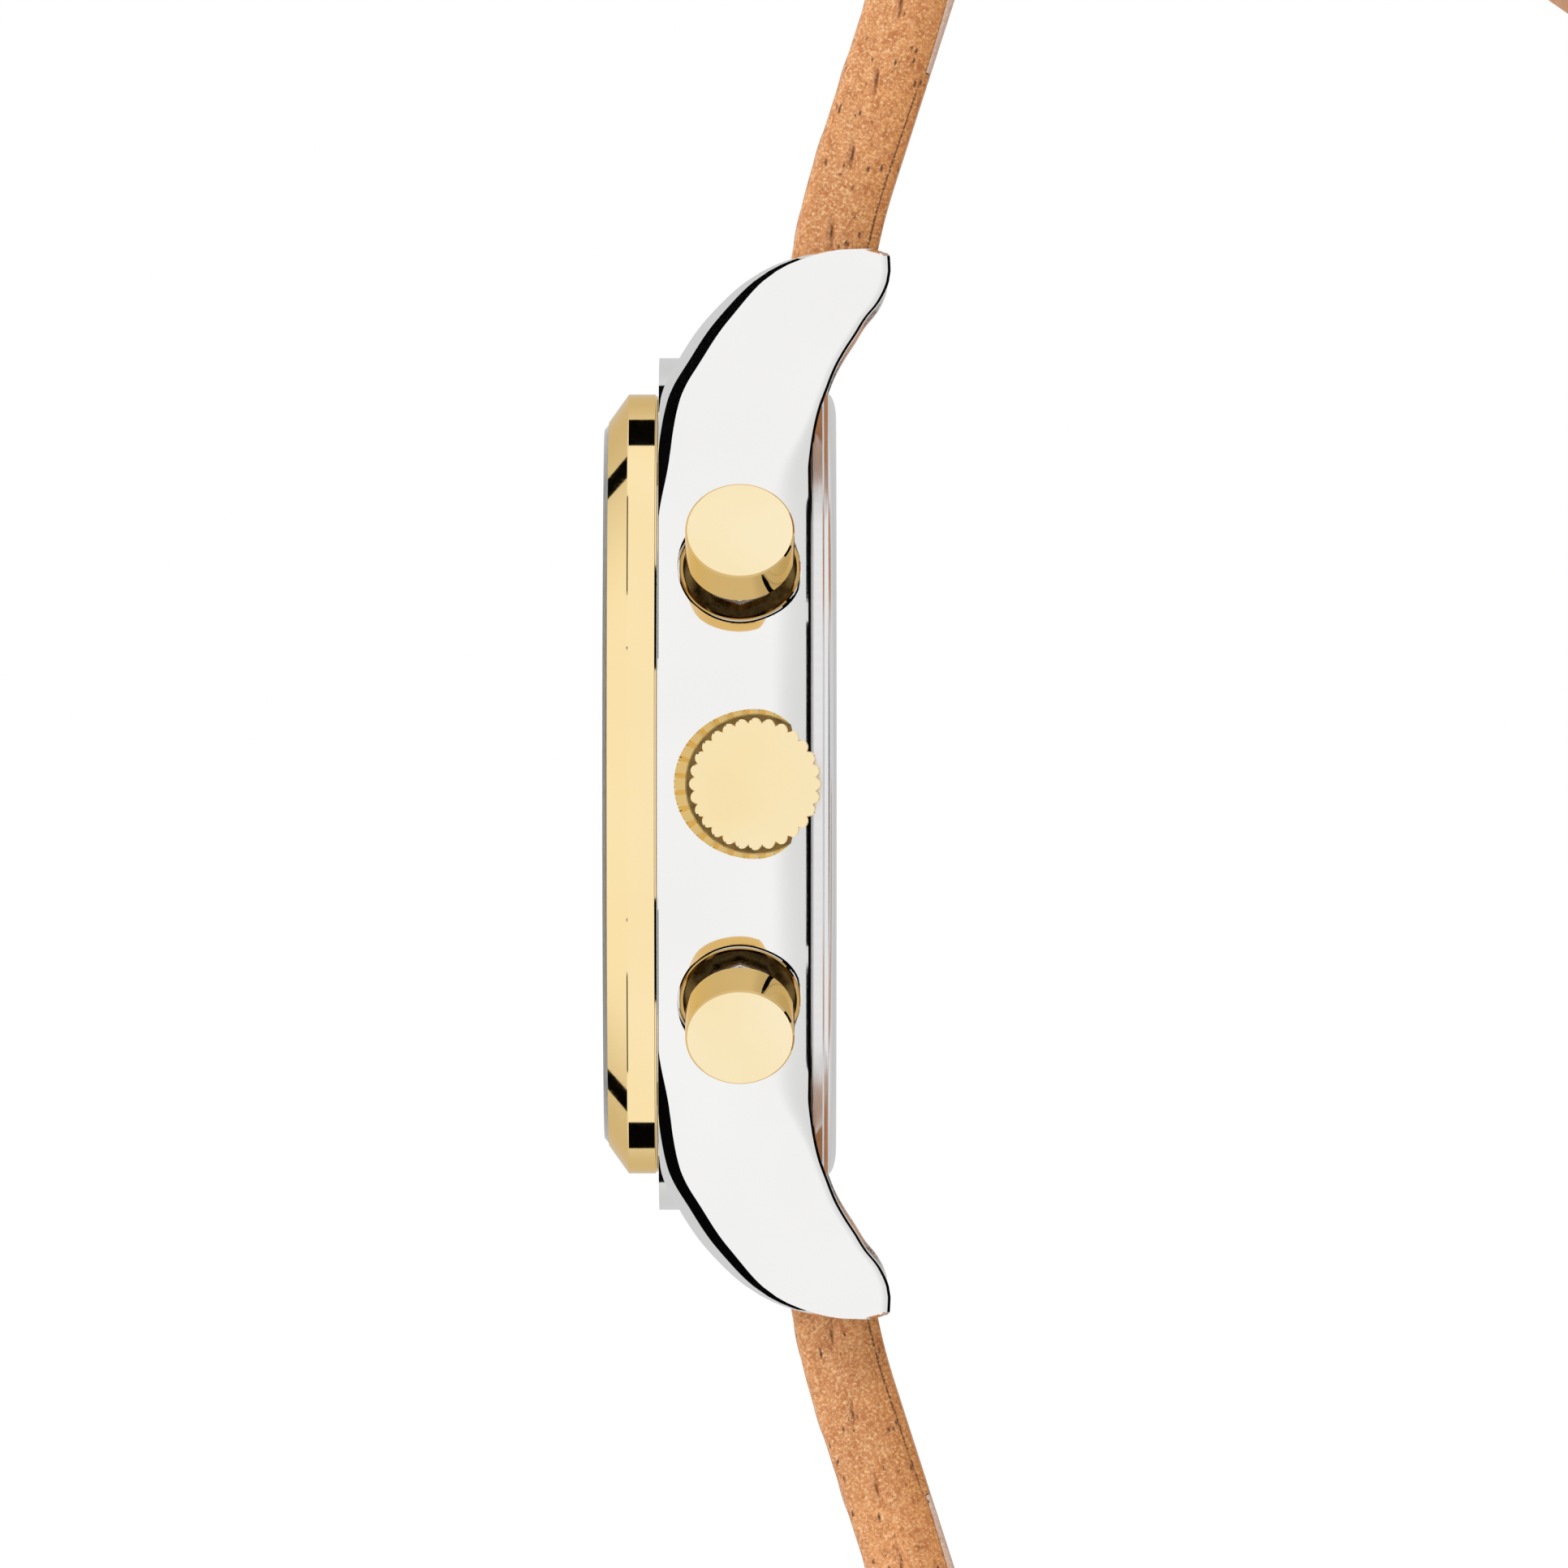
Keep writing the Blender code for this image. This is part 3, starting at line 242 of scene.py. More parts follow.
# %% [markdown]
# A polished face shows a card when the card stands where the face's normal sends the camera's line.
# So a card is made from a list of normals: each gives one place along the ribbon.

# %% Black ribbon cards
CARD_DISTANCE = 0.9
black = bpy.data.materials.new("black_card")
tree = new_nodes(black)
felt = add_node(tree, "ShaderNodeTexNoise", Scale=200.0)
tone = add_node(tree, "ShaderNodeMapRange", Value=felt.outputs["Fac"], To_Min=0.0, To_Max=0.004)
dark = add_node(tree, "ShaderNodeBsdfDiffuse", Color=tone.outputs["Result"])
add_node(tree, "ShaderNodeOutputMaterial", Surface=dark.outputs["BSDF"])


def black_ribbon(name, normals, start_width, end_width):
    """A ribbon card that a polished surface with these bench normals mirrors towards the camera.
    It is seen only in reflections. Its half width runs from the first value to the second."""
    look = Vector((-1, 0, 0))
    middle = [look - 2 * look.dot(n) * n for n in (Vector(normal).normalized() for normal in normals)]
    left, right = [], []
    for index, point in enumerate(middle):
        before, after = middle[max(index - 1, 0)], middle[min(index + 1, len(middle) - 1)]
        half_width = start_width + (end_width - start_width) * index / (len(middle) - 1)
        across = (after - before).cross(point).normalized() * half_width
        left.append((point + across).normalized() * CARD_DISTANCE / MM)
        right.append((point - across).normalized() * CARD_DISTANCE / MM)
    count = len(middle)
    quads = [(i, i + 1, count + i + 1, count + i) for i in range(count - 1)]
    card = stage_mesh(name, [STAND_UP @ point for point in left + right], quads, black)
    card.visible_camera = False
    card.visible_diffuse = False
    card.visible_shadow = False
    card.visible_transmission = False


BEZEL_SLOPE_UP = 1.4
for side, word in ((1, "12"), (-1, "6")):
    flank = [math.radians(angle) for angle in (59.4, 62, 65, 68.3)]
    black_ribbon(f"flank_card_{word}", [(math.cos(a), side * math.sin(a), 0) for a in flank], 0.14, 0.14)
    slope = [math.radians(angle) for angle in (50.8, 53.6, 56.4)]
    black_ribbon(f"slope_card_{word}", [(math.cos(a), side * math.sin(a), BEZEL_SLOPE_UP) for a in slope],
                 0.1, 0.1)
print("cards at", CARD_DISTANCE, "m")

# %% [markdown]
# ## Finishes
# Each finish is a small node tree on object coordinates, so it stays on its piece and can be baked.
# Metals get their life from slight changes in roughness and a whisper of polishing lines.


# %% Shared finish helpers
def new_finish(name, **fixed):
    """A Principled material whose even values are set on the shader's own sockets."""
    material = bpy.data.materials.new(name)
    tree = new_nodes(material)
    shader = add_node(tree, "ShaderNodeBsdfPrincipled")
    for key, value in fixed.items():
        shader.inputs[key.replace("_", " ")].default_value = value
    add_node(tree, "ShaderNodeOutputMaterial", Surface=shader.outputs["BSDF"])
    place = add_node(tree, "ShaderNodeTexCoord").outputs["Object"]
    return material, tree, shader, place


def dress(tree, shader, colour, roughness, normal=None):
    """Link a finish's colour, roughness and bumped normal to its shader."""
    for name, value in (("Base Color", colour), ("Roughness", roughness), ("Normal", normal)):
        if value is not None:
            tree.links.new(value, shader.inputs[name])


def noise(tree, place, size_mm, detail=3.0, roughness=0.5, stretch=(1, 1, 1)):
    """Noise with details of about this size in millimetres."""
    scaled = add_node(tree, "ShaderNodeMapping", Vector=place, Scale=stretch).outputs["Vector"]
    return add_node(tree, "ShaderNodeTexNoise", Vector=scaled, Scale=1 / (size_mm * MM), Detail=detail,
                    Roughness=roughness).outputs["Fac"]


def spread(tree, value, low, high, start=0.3, end=0.7):
    """Map a value's run from start to end onto low to high."""
    return add_node(tree, "ShaderNodeMapRange", Value=value, From_Min=start, From_Max=end,
                    To_Min=low, To_Max=high).outputs["Result"]


def blend_colour(tree, factor, first, second, mode="MIX"):
    """Mix two colours, each a triple or a socket."""
    mixed = add_node(tree, "ShaderNodeMix", {"data_type": "RGBA", "blend_type": mode}, Factor=factor)
    for index, value in ((6, first), (7, second)):
        if isinstance(value, bpy.types.NodeSocket):
            tree.links.new(value, mixed.inputs[index])
        else:
            mixed.inputs[index].default_value = (*value, 1)
    return mixed.outputs[2]


def bump(tree, height, depth_mm, strength=1.0, under=None):
    """Relief of this depth in millimetres, laid over another relief where one is given."""
    node = add_node(tree, "ShaderNodeBump", Height=height, Distance=depth_mm * MM, Strength=strength)
    if under:
        tree.links.new(under, node.inputs["Normal"])
    return node.outputs["Normal"]


def ring_distance(tree, place, centre):
    """Distance from an axis parallel to Y through (x, z) = centre, in mm."""
    centred = add_node(tree, "ShaderNodeMapping", Vector=place,
                       Location=(-centre[0] * MM, 0, -centre[1] * MM), Scale=(1, 0, 1)).outputs["Vector"]
    return add_node(tree, "ShaderNodeVectorMath", {"operation": "LENGTH"}, i0=centred).outputs["Value"]


print("finish helpers ready")

# %% [markdown]
# Metals get their life from slight changes in roughness and a whisper of polishing lines. Gold comes in
# several depths of colour here, and the deeper ones are painted light. The pushers' darker cap sides are
# painted shade. The cups' deep gold is painted shade, together with a painted reflection of light that gold
# has already coloured once. The steel round the crown is tinted with a painted gold reflection, and the
# cups' grey outer walls are painted shade.


# %% Metals
def polished_metal(name, colour, deep, low=0.02, high=0.06, edge=(1, 1, 1)):
    """Mirror-polished metal: soft clouds of tone and roughness, and faint polishing lines."""
    material, tree, shader, place = new_finish(name, Metallic=1.0, Specular_Tint=(*edge, 1))
    clouds = noise(tree, place, 9.0, 2.0)
    lines = noise(tree, place, 0.6, 4.0, 0.6, (1, 1, 6))
    dress(tree, shader, blend_colour(tree, spread(tree, clouds, 0, 1), colour, deep),
          spread(tree, lines, low, high), bump(tree, lines, 0.0004, 0.15))
    return material


def brushed_metal(name, colour, deep, around=None, rough=(0.22, 0.38)):
    """Metal with fine rings round an axis parallel to Y through (x, z), or straight grain."""
    material, tree, shader, place = new_finish(name, Metallic=1.0)
    if around:
        grain = add_node(tree, "ShaderNodeTexNoise", {"noise_dimensions": "1D"}, Detail=3.0,
                         W=ring_distance(tree, place, around), Scale=1 / (0.05 * MM)).outputs["Fac"]
    else:
        grain = noise(tree, place, 0.08, 4.0, 0.6, (1, 1, 0.05))
    dress(tree, shader, blend_colour(tree, spread(tree, grain, 0, 1), colour, deep),
          spread(tree, grain, *rough), bump(tree, grain, 0.002, 0.3))
    return material


steel = polished_metal("polished_steel", (0.93, 0.925, 0.915), (0.90, 0.895, 0.885))
GOLD_EDGE = (1.0, 0.80, 0.48)
gold = polished_metal("polished_gold", (1.0, 0.81, 0.47), (0.98, 0.77, 0.42), edge=GOLD_EDGE)
cap_gold = polished_metal("cap_gold", (0.99, 0.85, 0.57), (0.96, 0.78, 0.44), 0.08, 0.14, GOLD_EDGE)
# painted shade: a darker copy of the gold for the pusher caps' sides
side_gold_painted_shade = polished_metal("side_gold_painted_shade", (0.74, 0.53, 0.23), (0.66, 0.45, 0.17), edge=GOLD_EDGE)
# painted shade and painted gold-on-gold reflection: a deep gold for the cups' rims
cup_gold_painted_shade = polished_metal("cup_gold_painted_shade", (0.60, 0.39, 0.14), (0.50, 0.31, 0.10), edge=GOLD_EDGE)
# painted reflection: steel tinted gold, as the crown's gold mirrored in its cone
recess_steel_painted_reflection = polished_metal("recess_steel_painted_reflection", (0.92, 0.84, 0.66), (0.84, 0.76, 0.58))
# painted shade: a greyer copy of the steel for the cups' outer walls
lip_steel_painted_shade = polished_metal("lip_steel_painted_shade", (0.78, 0.775, 0.77), (0.72, 0.715, 0.71))
hand_gold = polished_metal("hand_gold", (0.90, 0.66, 0.32), (0.84, 0.60, 0.28), 0.08, 0.14)
spring_steel = brushed_metal("spring_steel", (0.62, 0.62, 0.63), (0.50, 0.50, 0.52))
back_steel = brushed_metal("case_back_brushing", (0.86, 0.85, 0.85), (0.78, 0.77, 0.77), (0, 0), (0.12, 0.24))
movement_plate = brushed_metal("movement_plate", (0.74, 0.73, 0.70), (0.60, 0.59, 0.56), (3, 3))
wheel_brass = brushed_metal("wheel_brass", (0.82, 0.64, 0.32), (0.68, 0.50, 0.22), (0, 0))
print("metals ready")

# %% [markdown]
# The gaskets are black rubber. The pushers' cups and the floor round the crown are painted almost
# black at the bottom: painted shade. The crystal lets rays straight through and mirrors more the flatter
# it is looked at, which is what Fresnel gives.

# %% Rubber, painted shade for the wells, and glass
rubber, tree, shader, place = new_finish("black_rubber", Metallic=0.0)
speckle = noise(tree, place, 0.15, 3.0)
dress(tree, shader, blend_colour(tree, speckle, (0.012, 0.012, 0.012), (0.035, 0.034, 0.033)),
      spread(tree, speckle, 0.5, 0.8), bump(tree, speckle, 0.02))

# painted shade: near black with brown patches, for the wells' deepest faces
painted_well_shade, tree, shader, place = new_finish("pusher_well_painted_shade", Metallic=1.0)
well_shade_noise = noise(tree, place, 0.5, 3.0)
dress(tree, shader, blend_colour(tree, well_shade_noise, (0.02, 0.013, 0.004), (0.40, 0.27, 0.10)),
      spread(tree, well_shade_noise, 0.2, 0.4))

glass, tree, shader, place = new_finish("sapphire_crystal", IOR=1.5)
haze = noise(tree, place, 6.0, 2.0)
dress(tree, shader, blend_colour(tree, haze, (0.80, 0.80, 0.77), (0.86, 0.86, 0.83)),
      spread(tree, haze, 0.0, 0.012))
clear = add_node(tree, "ShaderNodeBsdfTransparent")
edge_on = add_node(tree, "ShaderNodeFresnel", IOR=1.5)
share = add_node(tree, "ShaderNodeMapRange", Value=edge_on.outputs["Fac"], From_Min=0.0, From_Max=1.0,
                 To_Min=0.03, To_Max=1.0)
mixed = add_node(tree, "ShaderNodeMixShader", i0=share.outputs["Result"], i1=clear.outputs["BSDF"],
                 i2=shader.outputs["BSDF"])
output = next(node for node in tree.nodes if node.type == "OUTPUT_MATERIAL")
tree.links.new(mixed.outputs["Shader"], output.inputs["Surface"])
print("rubber and glass ready")

# %% [markdown]
# ## Leather finishes
# Nubuck is leather sanded to a short nap: warm tan, cloudy, with a fine grain, dark pores and
# scattered pale scuffs. Colour, roughness and bump all come from the same few noises, so a pore
# is dark, rough and sunken at once. The grain follows the strap, because it reads the place along,
# across and out of the strap that every point of the leather carries.


# %% Nubuck, lining and thread
def leather_finish(name, light, middle, dark, on_strap=True, seam=False, rough=(0.75, 0.92), sheen=0.15):
    """Sanded leather: clouds, a speckled nap and long dark pore marks; optionally a seam line, sides darker
    towards the back and painted shade in the stitch tucks.
    """
    material, tree, shader, place = new_finish(name, Metallic=0.0, Sheen_Weight=sheen, Sheen_Roughness=0.5)
    if on_strap:
        place = add_node(tree, "ShaderNodeAttribute", {"attribute_name": "strap_place"}).outputs["Vector"]
    clouds = noise(tree, place, 4.0, 3.0, 0.6, (1, 0.5, 1))
    nap = noise(tree, place, 0.42, 6.0, 0.85, (1, 0.7, 1))
    specks = noise(tree, place, 0.15, 2.0, 0.7)
    deep = tuple(value * 0.8 for value in middle)
    base = blend_colour(tree, spread(tree, clouds, 0, 1, 0.32, 0.68), deep, middle)
    base = blend_colour(tree, spread(tree, nap, 0.95, 0, 0.40, 0.53), base, dark)
    base = blend_colour(tree, spread(tree, specks, 0.6, 0, 0.36, 0.46), base, dark)
    base = blend_colour(tree, spread(tree, specks, 0, 0.9, 0.52, 0.66), base, light)
    stretched = add_node(tree, "ShaderNodeMapping", Vector=place, Scale=(1, 0.42, 1)).outputs["Vector"]
    wobble = add_node(tree, "ShaderNodeVectorMath", {"operation": "MULTIPLY_ADD"}, i0=nap,
                      i1=(0.3 * MM,) * 3, i2=stretched).outputs["Vector"]
    cells = add_node(tree, "ShaderNodeTexVoronoi", Vector=wobble, Scale=1 / (0.36 * MM))
    pores_seam_and_tuck_shade = spread(tree, cells.outputs["Distance"], 1, 0, 0.08, 0.22)
    rarity = spread(tree, noise(tree, place, 0.7, 2.0, 0.5, (1, 0.6, 1)), 0, 1, 0.49, 0.56)
    pores_seam_and_tuck_shade = maths(tree, "MULTIPLY", pores_seam_and_tuck_shade, rarity)
    if seam:
        parts = add_node(tree, "ShaderNodeSeparateXYZ", Vector=place)
        run, out = parts.outputs["Y"], parts.outputs["Z"]
        on_side = spread(tree, maths(tree, "ABSOLUTE", parts.outputs["X"]), 0, 1, 9.2 * MM, 9.6 * MM)
        near_case = spread(tree, run, 1, 0, 10.5 * MM, 12.5 * MM)
        # the strap's sides turn darker and more orange towards the back
        darker_to_back = maths(tree, "MULTIPLY", spread(tree, out, 0.85, 0, -THICK_HALF * MM, 0.3 * MM), on_side)
        base = blend_colour(tree, darker_to_back, base, (0.66, 0.55, 0.32), "MULTIPLY")
        line = maths(tree, "MULTIPLY_ADD", run, -0.018, (-THICK_HALF + 0.5) * MM)
        line = maths(tree, "MULTIPLY_ADD", nap, 0.10 * MM, line)
        away = maths(tree, "ABSOLUTE", maths(tree, "SUBTRACT", out, line))
        stroke = maths(tree, "MULTIPLY", spread(tree, away, 1, 0, 0.02 * MM, 0.055 * MM), near_case)
        stroke = maths(tree, "MULTIPLY", stroke, on_side)
        stroke = maths(tree, "MULTIPLY", stroke, spread(tree, specks, 1.0, 0.3, 0.45, 0.6))
        pores_seam_and_tuck_shade = maths(tree, "MAXIMUM", pores_seam_and_tuck_shade, stroke)
        # painted shade: the tucks, where a stitch pulls the leather in, are darkened
        pull = add_node(tree, "ShaderNodeAttribute", {"attribute_name": "tuck"}).outputs["Fac"]
        pores_seam_and_tuck_shade = maths(tree, "MAXIMUM", pores_seam_and_tuck_shade, spread(tree, pull, 0, 1.0, 0.5, 0.98))
    # pores, the seam line and the painted shade in the tucks darken the colour
    base = blend_colour(tree, pores_seam_and_tuck_shade, base, tuple(value * 0.26 for value in dark))
    relief = bump(tree, specks, 0.03, 0.6, bump(tree, nap, 0.10, 0.7))
    relief = bump(tree, maths(tree, "SUBTRACT", 1.0, pores_seam_and_tuck_shade), 0.08, 0.8, relief)
    dress(tree, shader, base, spread(tree, nap, *rough), relief)
    return material


THICK_HALF = 2.05
TAN = ((0.96, 0.60, 0.31), (0.84, 0.385, 0.155), (0.52, 0.18, 0.05))
nubuck = leather_finish("tan_nubuck", *TAN, seam=True)
nubuck_plain = leather_finish("keeper_nubuck", *TAN, on_strap=False)
lining = leather_finish("lining_leather", (0.80, 0.60, 0.47), (0.74, 0.52, 0.40), (0.58, 0.38, 0.28),
                        rough=(0.6, 0.75), sheen=0.1)
thread = leather_finish("tan_thread", (0.80, 0.48, 0.25), (0.72, 0.40, 0.19), (0.50, 0.24, 0.10), False,
                        rough=(0.5, 0.7), sheen=0.4)
print("leathers ready")

# %% [markdown]
# ## Dial finishes
# A silvered dial is brushed outwards from its centre, so its fine lines turn with the angle. The
# small counters are cut with concentric grooves, which catch the light the other way.


# %% Dial, counter, print and paint
def sunburst(name, light, dark):
    """Fine lines that run out from the dial's centre."""
    material, tree, shader, place = new_finish(name, Metallic=0.55)
    parts = add_node(tree, "ShaderNodeSeparateXYZ", Vector=place)
    angle = maths(tree, "ARCTAN2", parts.outputs["X"], parts.outputs["Z"])
    rays = add_node(tree, "ShaderNodeTexNoise", {"noise_dimensions": "1D"}, W=angle, Scale=60.0,
                    Detail=5.0).outputs["Fac"]
    dress(tree, shader, blend_colour(tree, spread(tree, rays, 0, 1), light, dark),
          spread(tree, rays, 0.28, 0.42), bump(tree, rays, 0.01, 0.4))
    return material


dial_finish = sunburst("silvered_dial", (0.86, 0.85, 0.82), (0.76, 0.75, 0.72))


def grooved(name, centre):
    """Concentric grooves 0.16 mm apart around a counter's centre, with painted shade in their troughs and
    painted light on their crests.
    """
    material, tree, shader, place = new_finish(name, Metallic=0.5)
    turns = maths(tree, "MULTIPLY", ring_distance(tree, place, centre), math.tau / (0.16 * MM))
    wave = maths(tree, "SINE", turns)
    # painted shade and light: each groove is darker in its trough and lighter on its crest
    tone = blend_colour(tree, spread(tree, wave, 0, 1, -1, 1), (0.80, 0.79, 0.76), (0.88, 0.87, 0.84))
    dress(tree, shader, tone, spread(tree, wave, 0.3, 0.4, -1, 1), bump(tree, wave, 0.012, 0.7))
    return material


ink, tree, shader, place = new_finish("dial_print", Metallic=0.0)
blot = noise(tree, place, 0.2, 2.0)
dress(tree, shader, blend_colour(tree, blot, (0.015, 0.015, 0.018), (0.03, 0.03, 0.034)),
      spread(tree, blot, 0.35, 0.5))
print("dial finishes ready")

# %% [markdown]
# ## Drawing pieces
# Almost everything in a watch is turned on a lathe, so one function spins an outline and another
# softens its corners, which is what makes edges catch the light. Each piece is finished with its
# place in its mesh, and rides on the body that the CAD gave it.


# %% Lathe helpers
def softened(outline, radius, closed=True, steps=3):
    """Round each corner of an outline with a small arc of the given radius, where it has room."""
    result = []
    count = len(outline)
    for index, corner in enumerate(outline):
        if not closed and index in (0, count - 1):
            result.append(tuple(corner))
            continue
        here = Vector(corner)
        before = Vector(outline[index - 1]) - here
        after = Vector(outline[(index + 1) % count]) - here
        cut = min(radius, before.length * 0.45, after.length * 0.45)
        start, end = here + before.normalized() * cut, here + after.normalized() * cut
        for step in range(steps + 1):
            t = step / steps
            result.append(tuple(start * (1 - t) ** 2 + here * 2 * t * (1 - t) + end * t**2))
    return result


def turned(outline, segments=160, closed=True):
    """Spin (radius, height) points round z. An open outline starts and ends on the axis."""
    shape = bmesh.new()
    rings = []
    for radius, height in outline:
        if radius < 1e-6:
            rings.append([shape.verts.new((0, 0, height))] * segments)
            continue
        rings.append([shape.verts.new((radius * math.cos(math.tau * k / segments),
                                       radius * math.sin(math.tau * k / segments), height))
                      for k in range(segments)])
    pairs = list(zip(rings, rings[1:] + rings[:1])) if closed else list(zip(rings, rings[1:]))
    for lower, upper in pairs:
        for k in range(segments):
            after = (k + 1) % segments
            corners = [lower[k], lower[after], upper[after], upper[k]]
            unique = [v for i, v in enumerate(corners) if v not in corners[:i]]
            if len(unique) > 2:
                shape.faces.new(unique)
    return shape


print("lathe helpers ready")

# %% [markdown]
# The rest is cut from plate, drawn as a bar, or lofted over a row of sections.


# %% Bars, plates and lofts
def rod(radius, low, high, segments=48):
    """A round bar between two heights on the z axis."""
    return turned([(0, low), (radius, low), (radius, high), (0, high)], segments, False)


def plate(outline, low, high):
    """A flat outline given a thickness."""
    shape = bmesh.new()
    face = shape.faces.new([shape.verts.new((x, y, low)) for x, y in outline])
    grown = bmesh.ops.extrude_face_region(shape, geom=[face])["geom"]
    raised = [item for item in grown if isinstance(item, bmesh.types.BMVert)]
    bmesh.ops.translate(shape, verts=raised, vec=(0, 0, high - low))
    return shape


def lofted(rings):
    """A skin over a row of closed rings, with both ends filled."""
    shape = bmesh.new()
    rows = [[shape.verts.new(point) for point in ring] for ring in rings]
    for row, following in zip(rows, rows[1:]):
        for index in range(len(row)):
            after = (index + 1) % len(row)
            shape.faces.new((row[index], row[after], following[after], following[index]))
    shape.faces.new(rows[0])
    shape.faces.new(rows[-1])
    return shape


def arc(radius, start, end, steps):
    """Points on a circle round the origin, from one angle to another."""
    angles = [start + (end - start) * index / steps for index in range(steps + 1)]
    return [(radius * math.cos(a), radius * math.sin(a)) for a in angles]


print("shape helpers ready")

# %% [markdown]
# A shape becomes an object, is carved where it needs holes, and is then kept: it gets its finish, the
# body it moves with, and the names of the CAD nodes it stands for.


# %% Objects, cuts and keeping
def to_object(name, shape, place=Matrix()):
    """Turn a bench bmesh into an object that stands in the shared frame."""
    bmesh.ops.recalc_face_normals(shape, faces=shape.faces)
    mesh = bpy.data.meshes.new(name)
    shape.to_mesh(mesh)
    shape.free()
    mesh.transform(STAND_UP @ place)
    made = bpy.data.objects.new(name, mesh)
    scene.collection.objects.link(made)
    return made


def carve(target, tools):
    """Apply Boolean (tool, operation) pairs in order, and remove the tools."""
    for tool, operation in tools:
        modifier = target.modifiers.new("carve", "BOOLEAN")
        modifier.operation = operation
        modifier.object = tool
    bpy.context.view_layer.update()
    depsgraph = bpy.context.evaluated_depsgraph_get()
    result = bpy.data.meshes.new_from_object(target.evaluated_get(depsgraph))
    target.modifiers.clear()
    old = target.data
    target.data = result
    bpy.data.meshes.remove(old)
    for tool, _ in tools:
        bpy.data.objects.remove(tool, do_unlink=True)


covered = set()


def keep(made, finish, body, nodes=(), sharp=32):
    """Give a finished piece its material, its smooth shading, its body and the nodes it stands for."""
    made.data.materials.clear()
    for item in finish if isinstance(finish, (list, tuple)) else [finish]:
        made.data.materials.append(item)
    made.data.shade_smooth()
    made.data.set_sharp_from_angle(angle=math.radians(sharp))
    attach(made, body)
    if nodes:
        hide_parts(*nodes)
        covered.update(nodes)
    print(f"{made.name}: {len(made.data.polygons)} faces on {body}")
    return made


CROSS = Matrix.Rotation(math.pi / 2, 4, "Y")


def outward(height, angle=0.0):
    """Place a lathe piece with its axis pointing out of the case at an angle from 3 o'clock."""
    return Matrix.Translation((0, 0, height)) @ Matrix.Rotation(angle, 4, "Z") @ CROSS


print("keeping helpers ready")

# %% [markdown]
# ## The case
# The steel case is a round band whose flanks sweep out into four lugs. It is lofted from upright
# sections taken across the watch, from one lug tip to the other: the outline seen from above gives
# each section its width, the outline seen from the side its top and bottom. Two facets run along
# the lugs' upper edges. The gap for the strap, the recesses and the bore are cut afterwards.


# %% Curves of the case
def smooth_curve(points):
    """A curve through points, as a function, that never overshoots them."""
    x = np.array([p[0] for p in points], float)
    y = np.array([p[1] for p in points], float)
    slope = np.diff(y) / np.diff(x)
    lean = np.zeros(len(x))
    for i in range(1, len(x) - 1):
        if slope[i - 1] * slope[i] > 0:
            lean[i] = 2 * slope[i - 1] * slope[i] / (slope[i - 1] + slope[i])
    lean[-1] = slope[-1]

    def value(at):
        i = int(np.clip(np.searchsorted(x, at) - 1, 0, len(x) - 2))
        h = x[i + 1] - x[i]
        t = (at - x[i]) / h
        return ((2 * t**3 - 3 * t**2 + 1) * y[i] + (t**3 - 2 * t**2 + t) * h * lean[i]
                + (3 * t**2 - 2 * t**3) * y[i + 1] + (t**3 - t**2) * h * lean[i + 1])
    return value


def ramp(value, start, end):
    """Smooth step from 0 at start to 1 at end."""
    t = min(max((value - start) / (end - start), 0), 1)
    return t * t * (3 - 2 * t)


case_bottom = 1.3
lug_tip_half_width = 14.0
under_root = case_radius - 5.7
drops = [(-9.6, 0), (-8.3, 0.03), (-7.4, 0.11), (-6.7, 0.30), (-5.63, 0.84), (-3.96, 1.89), (-2.75, 2.94),
         (-1.66, 4.15), (-0.91, 5.36), (-0.34, 6.87), (-0.03, 8.38), (0, 9.6)]
top_line = smooth_curve([(0, case_top)] + [(lug_reach + back, case_top - drop) for back, drop in drops])
under_line = smooth_curve([(0, case_bottom)] + [
    (under_root + share * (lug_reach - under_root), height) for share, height in
    [(0, case_bottom), (0.056, 1.24), (0.167, 1.05), (0.27, 0.79), (0.37, 0.4), (0.463, 0.0),
     (0.546, -0.5), (0.611, -0.96), (0.685, -1.45), (0.76, -2.1), (0.843, -2.53), (0.889, -2.64),
     (0.972, -2.6), (1, -1.75)]])


def half_width(v):
    """Plan outline: round band, then one smooth sweep to the lug's tip."""
    leave = math.pi / 8
    x0, y0 = case_radius * math.cos(leave), case_radius * math.sin(leave)
    if v <= y0:
        return math.sqrt(case_radius**2 - v**2)
    span = lug_reach - y0
    t = (v - y0) / span
    return ((2 * t**3 - 3 * t**2 + 1) * x0 - (t**3 - 2 * t**2 + t) * math.tan(leave) * span
            + (3 * t**2 - 2 * t**3) * lug_tip_half_width - (t**3 - t**2) * 0.2 * span)


print("lugs end", round(top_line(lug_reach - 1), 1), "mm high, one millimetre before their tips")

# %% [markdown]
# A section is drawn as its right half and mirrored. Going up: a small bevel on the lower edge, a flank
# that rolls in near the back, then two facets that open on the lugs and close on the round band.


